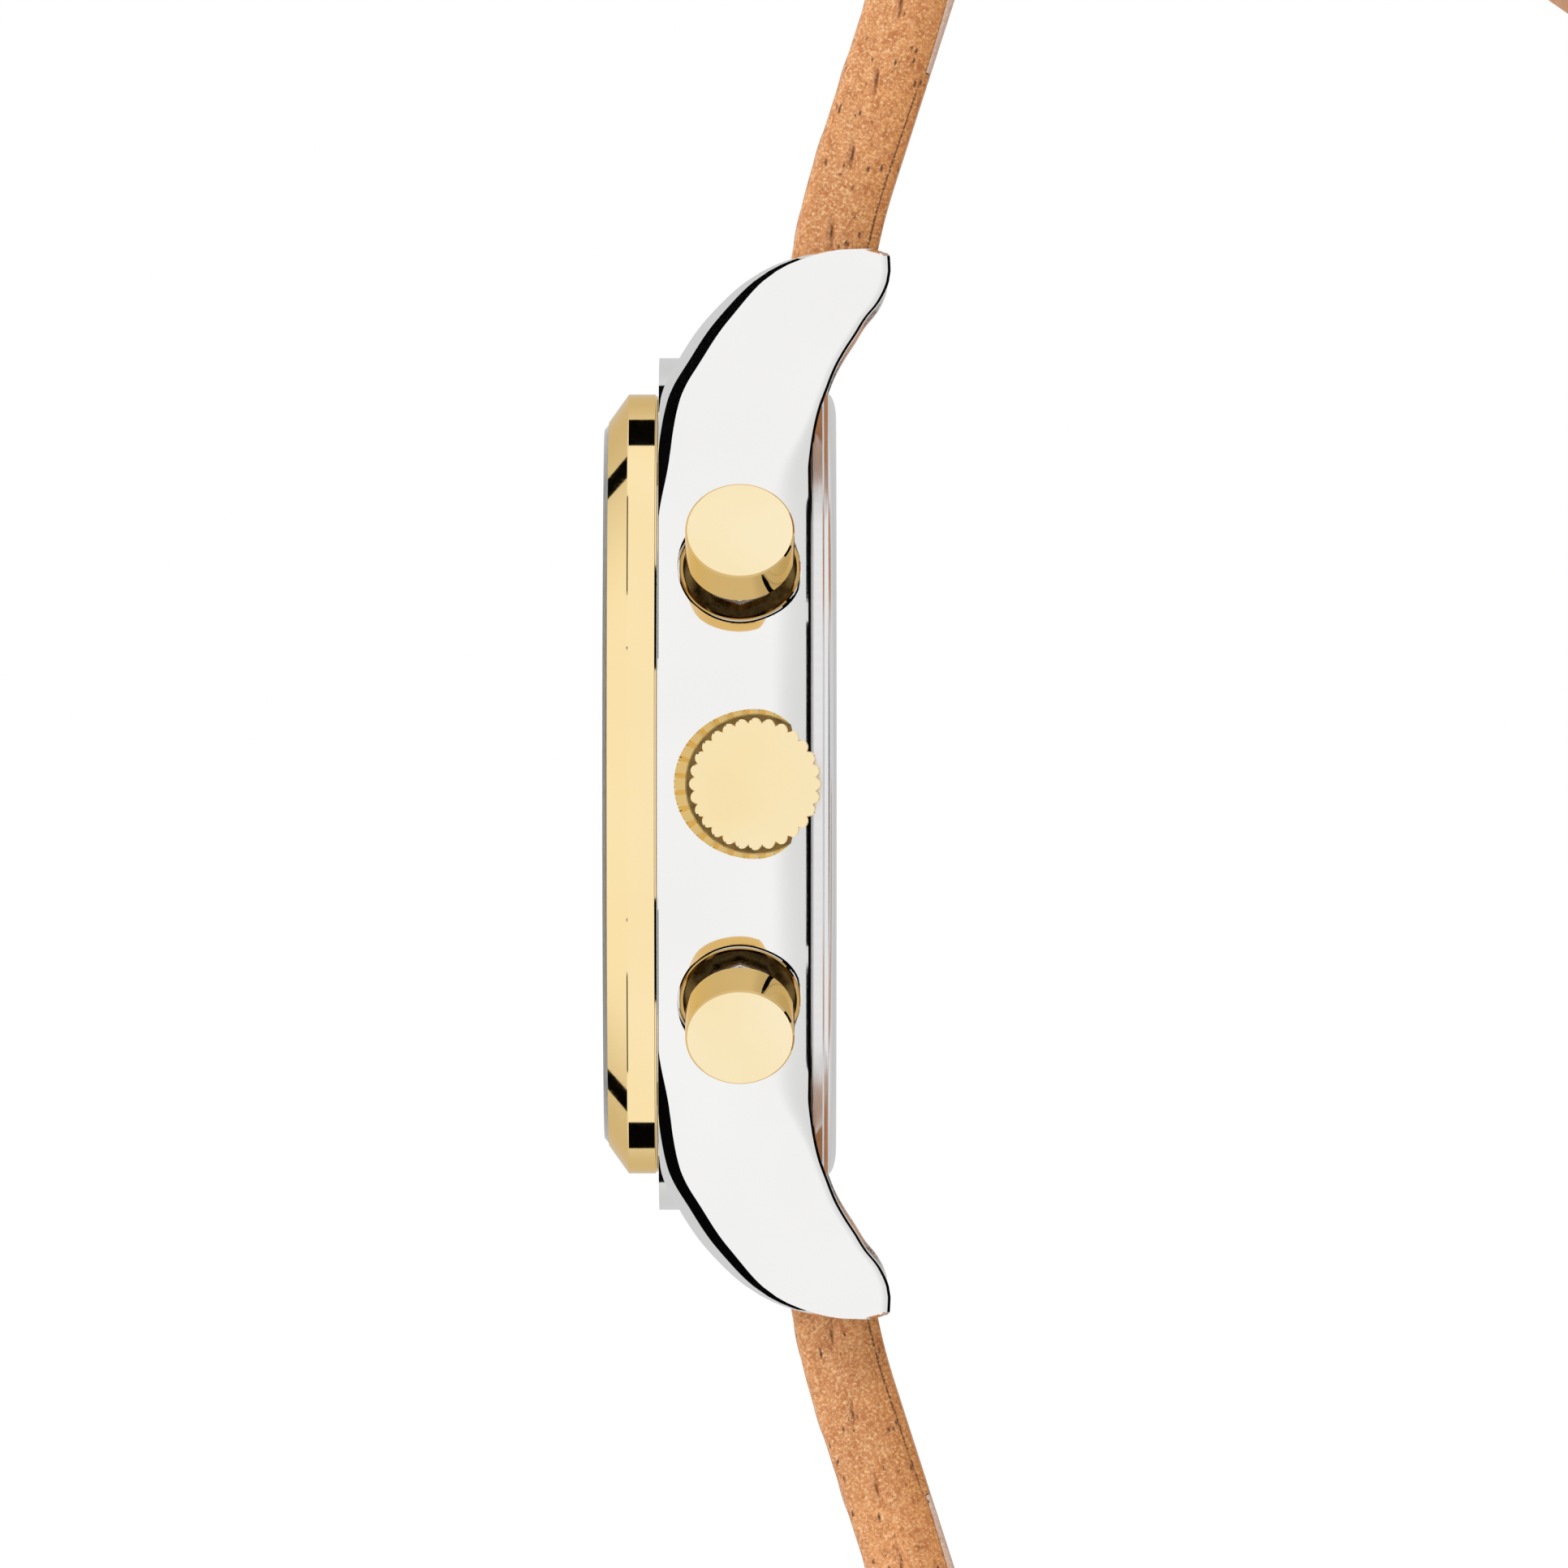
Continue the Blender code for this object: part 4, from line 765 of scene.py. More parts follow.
# %% Case sections
def case_section(v):
    """One upright section of the case block, as a closed ring of (x, y, z)."""
    side = abs(v)
    tip = ramp(side, lug_reach - 0.35, lug_reach)
    wide = half_width(side) - 0.25 * tip
    top, low = top_line(side), under_line(side)
    narrow = 1 - 0.45 * ramp(side, 22.5, lug_reach)
    room = (top - low) * 0.9
    bevel_drop = min(0.6 * max(ramp(side, 12.4, 16.6), 0.05) * narrow, room * 0.3)
    brow_drop = min(0.6 * max(ramp(side, 15.4, 21.2), 0.03) * narrow, room * 0.3)
    drop = bevel_drop + brow_drop
    lug = ramp(side, 13.5, 18.5)
    tuck = 0.95 + (0.14 - 0.95) * lug
    rise = min(2.5 + (0.5 - 2.5) * lug, room * 0.36)
    bevel = min(0.08 + 0.06 * lug, room * 0.12)
    half = [(wide - tuck - bevel, low), (wide - tuck - bevel * 0.2, low + bevel)]
    half += [(wide - tuck * (1 - k / 8) ** 2, low + bevel + rise * k / 8) for k in range(9)]
    flank_low, flank_high = low + bevel + rise, top - drop
    half += [(wide, flank_low + (flank_high - flank_low) * k / 5) for k in range(1, 6)]
    brow = wide - bevel_drop / 1.5
    crest = brow - 5.2 * brow_drop
    half += [(brow, top - brow_drop), (crest, top - 0.02), (crest - 0.3, top), (6.0, top)]
    half = [(6.0, low)] + half
    return [(x, v, z) for x, z in half] + [(-x, v, z) for x, z in reversed(half)]


stations = list(np.arange(0, 24.75, 0.25))
stations += [25.0, 25.3, 25.55, 25.75, 25.88, 25.96, 26.02, 26.06, 26.09]
stations = [v * lug_reach / 26.1 for v in stations] + [lug_reach]
stations = [-v for v in reversed(stations[1:])] + stations
case = to_object("case_middle_polished", lofted([case_section(v) for v in stations]))
print("case sections:", len(stations))

# %% [markdown]
# The bevels along each lug's edges read as crisp black lines. Their normals are known from the
# curves, so more cards are bent to lie exactly where those bevels look.


# %% Cards for the lugs' bevels
def edge_normal(line, v, side, out, up):
    """Normal of a bevel that leans out and up (or down) and follows the case's top or under line."""
    step = 0.05
    slope = (line(v + step) - line(v - step)) / (2 * step)
    sweep = (half_width(v + step) - half_width(v - step)) / (2 * step)
    return out, side * (-up * slope - out * sweep), up


BEVEL_STATIONS = [lug_reach * share for share in np.linspace(0.42, 0.985, 28)]
UNDER_STATIONS = [lug_reach * share for share in np.linspace(0.0, 0.985, 50)]
for side, word in ((1, "12"), (-1, "6")):
    upper = [edge_normal(top_line, v, side, 0.75, 0.5) for v in BEVEL_STATIONS]
    lower = [edge_normal(under_line, v, side, 1.0, -0.8) for v in UNDER_STATIONS]
    black_ribbon(f"bevel_card_{word}", upper, 0.17, 0.05)
    black_ribbon(f"under_card_{word}", lower, 0.12, 0.08)
print("bevel cards from", round(BEVEL_STATIONS[0], 1), "to", round(BEVEL_STATIONS[-1], 1), "mm")

# %% [markdown]
# Now the cuts. The strap's gap stops at the band's own circle, and a filler gives the band back its
# upright edge between the lugs. The crown sits in a polished cone, each pusher in a straight well.

# %% Tools for the strap's gaps
lug_gap = 20.0
gap_half = lug_gap / 2
back_seat = 1.3
tools = []
for turn in (0, math.pi):
    spin = Matrix.Rotation(turn, 4, "Z")
    near = case_radius - 0.01
    angle = math.acos((gap_half + 0.5) / near)
    corner = [(gap_half + 0.5, 14.0)] + arc(near, angle, math.pi - angle, 40) + [(-gap_half - 0.5, 14.0)]
    tools.append((to_object("filler", plate(corner, 5.0, case_top - 0.004), spin), "UNION"))
for turn in (0, math.pi):
    spin = Matrix.Rotation(turn, 4, "Z")
    angle = math.acos(gap_half / case_radius)
    gap = arc(case_radius, math.pi - angle, angle, 40) + [(gap_half, 30), (-gap_half, 30)]
    tools.append((to_object("gap", plate(gap, -6, 12), spin), "DIFFERENCE"))
    under = [(-gap_half, 13), (gap_half, 13), (gap_half, 30), (-gap_half, 30)]
    tools.append((to_object("under_gap", plate(under, -6, back_seat), spin), "DIFFERENCE"))
print("tools for the strap's gaps:", len(tools))

# %% [markdown]
# The bore takes the movement and the case back's seat. After the cuts, the cone round the crown gets
# steel tinted with a painted gold reflection, and the floor round the crown gets painted shade. Both are
# found by where the faces lie and how they lean.

# %% Bore, crown cone and pusher wells
cover_seat, gasket_seat, movement_bore, gasket_shelf = 20.0, 18.1, 17.0, 2.7
bore = [(0, -5), (cover_seat, -5), (cover_seat, back_seat), (gasket_seat, back_seat),
        (gasket_seat, gasket_shelf), (movement_bore, gasket_shelf), (movement_bore, 12), (0, 12)]
tools.append((to_object("bore", turned(bore, 160, False)), "DIFFERENCE"))
mouth = crown_radius + 0.15
crown_recess_floor = 20.4
cone = [(0, 16), (1.35, 16), (1.35, crown_recess_floor), (mouth, crown_recess_floor),
        (mouth + 2, crown_recess_floor + 2), (0, crown_recess_floor + 2)]
tools.append((to_object("cone", turned(cone, 128, False), outward(crown_height)), "DIFFERENCE"))
PUSHER_ANGLE = math.radians(30)
well_radius = 3.0
well_floor = 19.9
well = [(0, 16), (1.75, 16), (1.75, well_floor), (well_radius, well_floor), (well_radius, case_radius - 0.1),
        (well_radius + 0.05, case_radius - 0.05), (well_radius + 0.05, 23), (0, 23)]
for side in (1, -1):
    tools.append((to_object("well", turned(well, 96, False), outward(pusher_height, side * PUSHER_ANGLE)),
                  "DIFFERENCE"))
carve(case, tools)
keep(case, [steel, recess_steel_painted_reflection, painted_well_shade], "case", ["case_middle"], 18)
reach_in = (crown_recess_floor - 0.05) * MM
for face in case.data.polygons:
    middle, facing = face.center, face.normal
    away = math.hypot(middle.y + crown_height * MM, middle.z)
    slant = math.degrees(math.acos(max(-1, min(1, facing.x))))
    # cone faces round the crown: steel with a painted gold reflection
    if 35 < slant < 55 and mouth * 0.99 * MM < away < (mouth + 0.7) * MM and middle.x > reach_in:
        face.material_index = 1
    # floor faces round the crown: painted shade
    if slant < 5 and away < mouth * MM and reach_in < middle.x < (crown_recess_floor + 0.02) * MM:
        face.material_index = 2

# %% [markdown]
# ## Bezel, crystal and case back
# The gold bezel is an upright flank with a slope up to the crystal. The crystal stands a hair
# proud of it and has a bevelled rim. The case back is two shallow steps around a flat face.

# %% Turn the bezel, crystal and back
pocket = crystal_radius + 0.05
ledge = crystal_low.z - 0.3
foot = 0.12
bezel_outline = [(bezel_radius - foot, bezel_low.z), (bezel_radius - foot / 3, bezel_low.z + foot),
                 (bezel_radius, bezel_low.z + foot), (bezel_radius, bezel_top - 1.0), (pocket, bezel_top),
                 (pocket, ledge), (17.05, ledge), (17.05, bezel_low.z + 0.65), (17.65, bezel_low.z + 0.65),
                 (17.65, bezel_low.z)]
bezel_shape = turned(softened(bezel_outline, 0.035, steps=1), 256)
keep(to_object("bezel_polished", bezel_shape), gold, "case", ["bezel"], 15)
glass_outline = [(0, crystal_low.z), (crystal_radius, crystal_low.z), (crystal_radius, crystal_high.z - 0.25),
                 (crystal_radius - 0.3, crystal_high.z), (0, crystal_high.z)]
keep(to_object("crystal_clear", turned(softened(glass_outline, 0.04, False), 192, False)), glass, "case",
     ["crystal"])
step_radius, rim_radius = 19.3, back_high.x
rolled = [(step_radius - 1.3 + 1.3 * math.sin(a), 0.5 - 0.5 * math.cos(a))
          for a in np.linspace(0, math.pi / 2, 9)]
back_outline = [(0, 0), *rolled, (step_radius, 0.6), (rim_radius - 0.08, 0.6), (rim_radius, 0.68),
                (rim_radius, 1.12), (rim_radius - 0.08, 1.2), (18.0, 1.2), (18.0, 2.6), (17.3, 2.6),
                (17.3, 1.2), (0, 1.2)]
keep(to_object("case_back_turned", turned(back_outline, 192, False)), back_steel, "case", ["case_back"], 20)

# %% [markdown]
# ## Geometry trees
# What repeats by a rule is grown by a node tree with named inputs: the crown's flutes, the stitches
# and the dial's marks. The result is turned into a plain mesh.


# %% Node tree helpers
def node_tree(name, inputs):
    """A Geometry Nodes tree with named inputs (name, socket kind, default value)."""
    tree = bpy.data.node_groups.new(name, "GeometryNodeTree")
    tree.interface.new_socket("Geometry", in_out="OUTPUT", socket_type="NodeSocketGeometry")
    for label, kind, value in inputs:
        socket = tree.interface.new_socket(label, in_out="INPUT", socket_type=f"NodeSocket{kind}")
        if value is not None:
            socket.default_value = value
    return tree, add_node(tree, "NodeGroupInput").outputs


def grow(name, tree, values, place=Matrix(), source=None):
    """Run a tree on an object and return its result as a plain mesh object."""
    carrier = source or bpy.data.objects.new("carrier", bpy.data.meshes.new("carrier"))
    if not source:
        scene.collection.objects.link(carrier)
    modifier = carrier.modifiers.new("grow", "NODES")
    modifier.node_group = tree
    inputs = [item for item in tree.interface.items_tree if item.in_out == "INPUT"]
    sockets = {item.name: item.identifier for item in inputs}
    for label, value in values.items():
        modifier[sockets[label]] = value
    bpy.context.view_layer.update()
    depsgraph = bpy.context.evaluated_depsgraph_get()
    result = bpy.data.meshes.new_from_object(carrier.evaluated_get(depsgraph))
    bpy.data.objects.remove(carrier, do_unlink=True)
    result.name = name
    result.transform(STAND_UP @ place)
    made = bpy.data.objects.new(name, result)
    scene.collection.objects.link(made)
    return made


def finish_tree(tree, geometry, material_socket):
    """Make the instances real and give them their material."""
    real = add_node(tree, "GeometryNodeRealizeInstances", Geometry=geometry).outputs["Geometry"]
    done = add_node(tree, "GeometryNodeSetMaterial", Geometry=real, Material=material_socket)
    add_node(tree, "NodeGroupOutput", Geometry=done.outputs["Geometry"])


print("tree helpers ready")

# %% [markdown]
# ## Crown
# A push-in crown with rounded flutes. The tree starts from a circle with enough points, moves each in
# by a rule of its angle, fills and extrudes it, and gives it a chamfer by a smaller end ring.

# %% Fluted barrel tree
flutes, sizes = node_tree("fluted_barrel", [
    ("Flutes", "Int", 28), ("Radius", "Float", 3.2), ("Depth", "Float", 0.2), ("Length", "Float", 4.0),
    ("Chamfer", "Float", 0.2), ("Finish", "Material", None)])
points_each = maths(flutes, "MULTIPLY", sizes["Flutes"], 12.0)
circle = add_node(flutes, "GeometryNodeMeshCircle", {"fill_type": "NGON"}, Vertices=points_each,
                  Radius=sizes["Radius"])
position = add_node(flutes, "GeometryNodeInputPosition").outputs["Position"]
spot = add_node(flutes, "ShaderNodeSeparateXYZ", Vector=position)
turn = maths(flutes, "ARCTAN2", spot.outputs["Y"], spot.outputs["X"])
half_turns = maths(flutes, "MULTIPLY", sizes["Flutes"], 0.5)
wave = maths(flutes, "COSINE", maths(flutes, "MULTIPLY", turn, half_turns))
lobe = maths(flutes, "ABSOLUTE", wave)
valley = maths(flutes, "SUBTRACT", 1.0, maths(flutes, "POWER", lobe, 0.8))
inward = maths(flutes, "DIVIDE", maths(flutes, "MULTIPLY", valley, sizes["Depth"]), sizes["Radius"])
shrink = maths(flutes, "SUBTRACT", 1.0, inward)
moved = add_node(flutes, "ShaderNodeVectorMath", {"operation": "SCALE"}, i0=position, Scale=shrink)
shaped = add_node(flutes, "GeometryNodeSetPosition", Geometry=circle.outputs["Mesh"],
                  Position=moved.outputs["Vector"])
body_length = maths(flutes, "SUBTRACT", sizes["Length"], sizes["Chamfer"])
raised = add_node(flutes, "GeometryNodeExtrudeMesh", {"mode": "FACES"}, Mesh=shaped.outputs["Geometry"],
                  Offset=(0, 0, 1), Offset_Scale=body_length, Individual=False)
capped = add_node(flutes, "GeometryNodeExtrudeMesh", {"mode": "FACES"}, Mesh=raised.outputs["Mesh"],
                  Selection=raised.outputs["Top"], Offset=(0, 0, 1), Offset_Scale=sizes["Chamfer"],
                  Individual=False)
narrow = maths(flutes, "SUBTRACT", 1.0, maths(flutes, "DIVIDE", sizes["Chamfer"], sizes["Radius"]))
pulled = add_node(flutes, "GeometryNodeScaleElements", Geometry=capped.outputs["Mesh"],
                  Selection=capped.outputs["Top"], Scale=narrow)
closing = add_node(flutes, "GeometryNodeMergeByDistance", Geometry=pulled.outputs["Geometry"], Distance=1e-4)
finish_tree(flutes, closing.outputs["Geometry"], sizes["Finish"])
print("barrel tree:", len(flutes.nodes), "nodes")

# %% [markdown]
# The crown stands in its cone with a thin gap, and its bore takes the tube and the stem.

# %% Crown
crown_inner, crown_outer = crown_recess_floor + 0.06, crown_high.x
values = {"Flutes": 28, "Radius": crown_radius, "Depth": 0.22, "Length": crown_outer - crown_inner,
          "Chamfer": 0.06, "Finish": cap_gold}
crown_seat = outward(crown_height) @ Matrix.Translation((0, 0, crown_inner))
crown = grow("crown_fluted", flutes, values, crown_seat)
crown_bore = [(0, crown_inner - 1), (1.32, crown_inner - 1), (1.32, crown_outer - 1.55),
              (0.65, crown_outer - 1.4), (0.65, crown_outer - 0.5), (0, crown_outer - 0.5)]
bore_tool = to_object("crown_bore", turned(crown_bore, 48, False), outward(crown_height))
carve(crown, [(bore_tool, "DIFFERENCE")])
keep(crown, cap_gold, "crown", ["crown"], 30)

# %% [markdown]
# ## Pushers
# Each chronograph pusher is a plain round cap on a stem. It slides in a gilt cup that is pressed into
# the case. The cap is turned with a fine chamfer. Its sides are painted a darker gold as shade. The
# cup's rim is painted a deep gold as shade and gold-on-gold reflection. Its inside is painted almost
# black, as the shade where little light gets past the cap, and its outer wall is grey as painted shade.

# %% Turn the pushers and their cups
cap_radius = 2.65
cap_inner, cap_outer = case_radius + 1.35, case_radius + 3.6
cup_radius = well_radius - 0.05
cap = [(0, 17.0), (0.85, 17.0), (0.85, 17.05), (1.2, 17.05), (1.2, cap_inner), (cap_radius - 0.05, cap_inner),
       (cap_radius, cap_inner + 0.05), (cap_radius, cap_outer - 0.09), (cap_radius - 0.09, cap_outer),
       (0, cap_outer)]
cup = [(1.26, 17.05), (1.65, 17.05), (1.65, 19.96), (cup_radius, 19.96), (cup_radius, 20.95),
       (cup_radius - 0.06, case_radius + 0.02), (cap_radius + 0.12, case_radius + 0.02),
       (cap_radius + 0.06, 20.9), (cap_radius + 0.06, 20.25), (1.26, 20.25)]
for word, side in (("start", 1), ("reset", -1)):
    seat = outward(pusher_height, side * PUSHER_ANGLE)
    cap_piece = to_object(f"{word}_pusher_cap", turned(cap, 128, False), seat)
    keep(cap_piece, [cap_gold, side_gold_painted_shade], f"{word}_pusher", [f"{word}_pusher"], 28)
    cup_piece = to_object(f"{word}_pusher_cup", turned(cup, 128), seat)
    keep(cup_piece, [cup_gold_painted_shade, painted_well_shade, lip_steel_painted_shade], "case", [f"{word}_pusher_tube"], 28)
    axis = (STAND_UP @ seat).to_3x3() @ Vector((0, 0, 1))
    axis.normalize()
    centre = (STAND_UP @ seat).translation
    # the cap's sides take the darker gold of painted shade
    for face in cap_piece.data.polygons:
        if abs(face.normal.dot(axis)) < 0.9:
            face.material_index = 1
    # the cup's rim keeps the deep gold of painted shade and reflection
    for face in cup_piece.data.polygons:
        along_axis = (face.center - centre).dot(axis)
        away = ((face.center - centre) - axis * along_axis).length
        # the cup's inside takes the painted shade
        if away < (cap_radius + 0.1) * MM:
            face.material_index = 1
        # the cup's outer wall takes the grey steel of painted shade
        if away > (cup_radius - 0.02) * MM and abs(face.normal.dot(axis)) < 0.5:
            face.material_index = 2

# %% [markdown]
# ## Straps
# Both straps follow the same kind of path: out of the lugs at a slight lean, straight, then round the
# wrist. The path is a list of runs, each with a length and a bend, and any place on it is found by
# walking along it. The leather is drawn as many close cross-sections, so that it can carry its real
# relief: a turned-back seam near the lining and the small tucks where each stitch pulls the edge in.


# %% Walk along a strap
FIRST_LEAN, FULL_LEAN = math.radians(10.5), math.radians(17.8)
EASE = 4.0


def strap_route(bend_radius, end_angle, straight):
    """Straight runs and arcs (length, curvature) that the strap's middle line follows."""
    return [(2.7, 0), (EASE, (FULL_LEAN - FIRST_LEAN) / EASE), (10.5, 0),
            (bend_radius * (end_angle - FULL_LEAN), 1 / bend_radius), (straight, 0)]


def along(route, distance):
    """Place (y, z) and lean of the middle line at a distance from the spring bar."""
    y, z, lean = 0.0, 0.0, FIRST_LEAN
    for index, (length, bend) in enumerate(route):
        run = distance if index == len(route) - 1 or distance < length else length
        if bend:
            turned_lean = lean + run * bend
            y += (math.sin(turned_lean) - math.sin(lean)) / bend
            z += (math.cos(turned_lean) - math.cos(lean)) / bend
            lean = turned_lean
        else:
            y += run * math.cos(lean)
            z -= run * math.sin(lean)
        if run == distance:
            break
        distance -= run
    return y, z, lean


THICK, THIN = 4.1, 2.6
strap_half = gap_half - 0.2
end_half = 9.0
LINING_START = 12.0
TAIL_POINT = 9.0
bar_loop = THIN / 2
buckle_route = strap_route(15.0, math.radians(125), 30.0)
tail_route = strap_route(22.0, math.radians(165), 41.5)
buckle_at = sum(length for length, _ in buckle_route)
tail_end = sum(length for length, _ in tail_route)
seat_12 = Matrix.Translation((0, bar_place, bar_height))
seat_6 = Matrix.Translation((0, -bar_place, bar_height)) @ Matrix.Rotation(math.pi, 4, "Z")


def thickness_at(distance):
    """The strap thins from 20 to 45 mm away from its spring bar."""
    return THICK + (THIN - THICK) * min(max((distance - 20) / 25, 0), 1)


def half_width_at(distance):
    """The strap narrows from 14 to 59 mm away from its spring bar."""
    return strap_half + (end_half - strap_half) * min(max((distance - 14) / 45, 0), 1)


def tail_half_width(distance):
    """The same, but rounded off over the tail's last millimetres."""
    left = tail_end - distance
    if left >= TAIL_POINT:
        return half_width_at(distance)
    return half_width_at(distance) * math.sqrt(max(1 - (1 - left / TAIL_POINT) ** 2, 0.01))


print("strap lengths", round(buckle_at, 1), round(tail_end, 1))

# %% [markdown]
# Each cross-section is an outline of places across and out of the strap. It remembers those places
# and how strongly a stitch pulls there, so the finish can follow the strap and paint shade into the tucks.

# %% Strap cross-sections
STITCH_PITCH = 3.9
STITCH_START = 3.2
TUCK_PLACE = 0.33


def tuck_at(distance, out):
    """How strongly a stitch pulls the leather's edge in at this place on the side: -0.4 to 1."""
    offset = (distance - STITCH_START + STITCH_PITCH / 2) % STITCH_PITCH - STITCH_PITCH / 2
    lengthwise = max(0.0, 1 - (offset / 1.15) ** 2)
    crease = out - TUCK_PLACE - 0.16 * offset
    return lengthwise * (math.exp(-(crease / 0.13) ** 2) - 0.6 * math.exp(-((crease - 0.3) / 0.16) ** 2))


def lining_depth(distance):
    """The part of the side that shows lining: it widens away from the case."""
    return 0.2 + 0.4 * ramp(distance, LINING_START, 26)


def across_route(route, distance, outline):
    """Stand an outline (x, out, tuck) across the path: (bench point, place in the strap, tuck)."""
    y, z, lean = along(route, distance)
    return [((x, y + out * math.sin(lean), z + out * math.cos(lean)), (x, distance, out), pull)
            for x, out, pull in outline]


def leather_ring(route, distance, width, low, high, corner, tucks=True, back_round=0.22):
    """One cross-section of the leather, with rounded edges and stitch tucks on its sides."""
    half, thick = width(distance), high - low
    front, back = min(corner, thick * 0.45), min(back_round, thick * 0.2)
    outline = []
    for step in range(5):
        a = -math.pi / 2 + math.pi / 2 * step / 4
        outline.append((half - 0.04 - back + back * math.cos(a), low + back + back * math.sin(a), 0))
    for step in range(1, 26):
        out = low + back + (thick - front - back) * step / 26
        bulge = 0.05 * math.sin(math.pi * step / 26)
        pull = tuck_at(distance, out) if tucks else 0
        outline.append((half - 0.05 + bulge - 0.19 * pull, out, pull))
    for step in range(8):
        a = math.pi / 2 * step / 7
        outline.append((half - 0.04 - 1.4 * front + 1.4 * front * math.cos(a),
                        high - front + front * math.sin(a), 0))
    outline.append((half * 0.5, high, 0))
    outline += [(-x, out, pull) for x, out, pull in reversed(outline)]
    return across_route(route, distance, outline)


print("stitches every", STITCH_PITCH, "mm")

# %% [markdown]
# Carving loses what the rings remember, so after it each point takes the notes of the ring point
# nearest to it.


# %% Strap meshes that know their place
def strap_mesh(name, rings, place, tools=()):
    """Loft the rings, carve them, and note each point's place in the strap for the finish."""
    made = to_object(name, lofted([[point for point, _, _ in ring] for ring in rings]), place)
    if tools:
        carve(made, tools)
    known = [item for ring in rings for item in ring]
    tree = KDTree(len(known))
    for index, (point, _, _) in enumerate(known):
        tree.insert(STAND_UP @ place @ Vector(point), index)
    tree.balance()
    nearest = [known[tree.find(vertex.co)[1]] for vertex in made.data.vertices]
    attribute = made.data.attributes.new("strap_place", "FLOAT_VECTOR", "POINT")
    attribute.data.foreach_set("vector", [value * MM for _, note, _ in nearest for value in note])
    attribute = made.data.attributes.new("tuck", "FLOAT", "POINT")
    attribute.data.foreach_set("value", [pull for _, _, pull in nearest])
    return made


print("strap mesh helper ready")

# %% [markdown]
# The sections follow each other closely enough to show the tucks. The leather's ends are rounded by a
# few sections that shrink along a circle.


# %% Sections of the leather and the lining
def spaced(start, end, step):
    """Even stations from start to end, no further apart than the step."""
    count = max(1, math.ceil((end - start) / step))
    return [start + (end - start) * index / count for index in range(count + 1)]


def end_rings(route, distance, width, radius, angles, sign):
    """Rings that round off an end of the leather."""
    rings = []
    for angle in angles:
        a = math.radians(angle)
        half = radius * math.cos(a)
        rings.append(leather_ring(route, distance + sign * radius * math.sin(a), width, -half, half,
                                  0.55 * math.cos(a), False))
    return rings


def leather_rings(route, length, lining_end, width, round_end):
    """All sections of a strap's leather; where it is lined, the lining takes the lowest part."""
    rings = end_rings(route, 0, lambda distance: strap_half, THICK / 2, (80, 68, 56, 44, 32, 20, 8), -1)
    for start, end, lined in ((0.2, LINING_START, False), (LINING_START + 0.05, lining_end, True),
                              (lining_end + 0.05, length, False)):
        for distance in spaced(start, end, 0.22) if end > start else []:
            half = thickness_at(distance) / 2
            low = -half + (lining_depth(distance) + 0.01 if lined else 0)
            back_round = 0.05 if lined else 0.22
            rings.append(leather_ring(route, distance, width, low, half, 0.55, True, back_round))
    if round_end:
        rings += end_rings(route, length, width, bar_loop, (15, 30, 45, 60, 75), 1)
    return rings


def lining_rings(route, lining_end, width):
    """Sections of the thin lining on the wrist's side."""
    rings = []
    for distance in spaced(LINING_START + 0.1, lining_end - 0.05, 0.6):
        low = -thickness_at(distance) / 2
        half = width(distance) - 0.05
        outline = [(half - 0.1, low, 0), (half, low + 0.08, 0),
                   (half + 0.01, low + lining_depth(distance), 0)]
        outline += [(-x, out, pull) for x, out, pull in reversed(outline)]
        rings.append(across_route(route, distance, outline))
    return rings


print("lining is", lining_depth(0), "to", round(lining_depth(30), 2), "mm deep on the side")

# %% [markdown]
# The 12 o'clock strap ends at the buckle, with a slot for the tang; the 6 o'clock strap ends in a
# rounded tail with seven holes. Round bars cut the channels for the spring bars.


# %% Draw the leather and linings
def cross_rod(radius, place):
    """A rod across the strap, as a cutting tool."""
    return to_object("cross_rod", rod(radius, -14, 14, 32), place @ CROSS), "DIFFERENCE"


def strap_frame(route, distance, place):
    """Place on the strap's middle line, leaning with it."""
    y, z, lean = along(route, distance)
    return place @ Matrix.Translation((0, y, z)) @ Matrix.Rotation(-lean, 4, "X")


TANG_HALF_WIDTH = 1.1
lining_end = buckle_at - 5.0
buckle_seat = strap_frame(buckle_route, buckle_at, seat_12)
slot_half = TANG_HALF_WIDTH + 0.4
slot_outline = [(-slot_half, -2.3), (slot_half, -2.3), (slot_half, 5), (-slot_half, 5)]
cuts_12 = [cross_rod(0.95, seat_12), cross_rod(0.8, buckle_seat),
           (to_object("slot", plate(slot_outline, -5, 5), buckle_seat), "DIFFERENCE")]
rings_12 = leather_rings(buckle_route, buckle_at, lining_end, half_width_at, True)
strap_12 = strap_mesh("strap_12_nubuck", rings_12, seat_12, cuts_12)
skin_12 = lining_rings(buckle_route, lining_end, half_width_at)
lining_12 = strap_mesh("strap_12_lining_skin", skin_12, seat_12)
keep(strap_12, nubuck, "strap_12", ["strap_12_leather"], 50)
keep(lining_12, lining, "strap_12", ["strap_12_lining"], 50)

HOLES, HOLE_PITCH, FIRST_HOLE = 7, 6.0, 18.0


def punches():
    """Round cutting tools, one for each hole in the strap's tail."""
    tools = []
    for index in range(HOLES):
        seat = strap_frame(tail_route, tail_end - FIRST_HOLE - index * HOLE_PITCH, seat_6)
        tools.append((to_object("punch", rod(0.9, -5, 5, 32), seat), "DIFFERENCE"))
    return tools


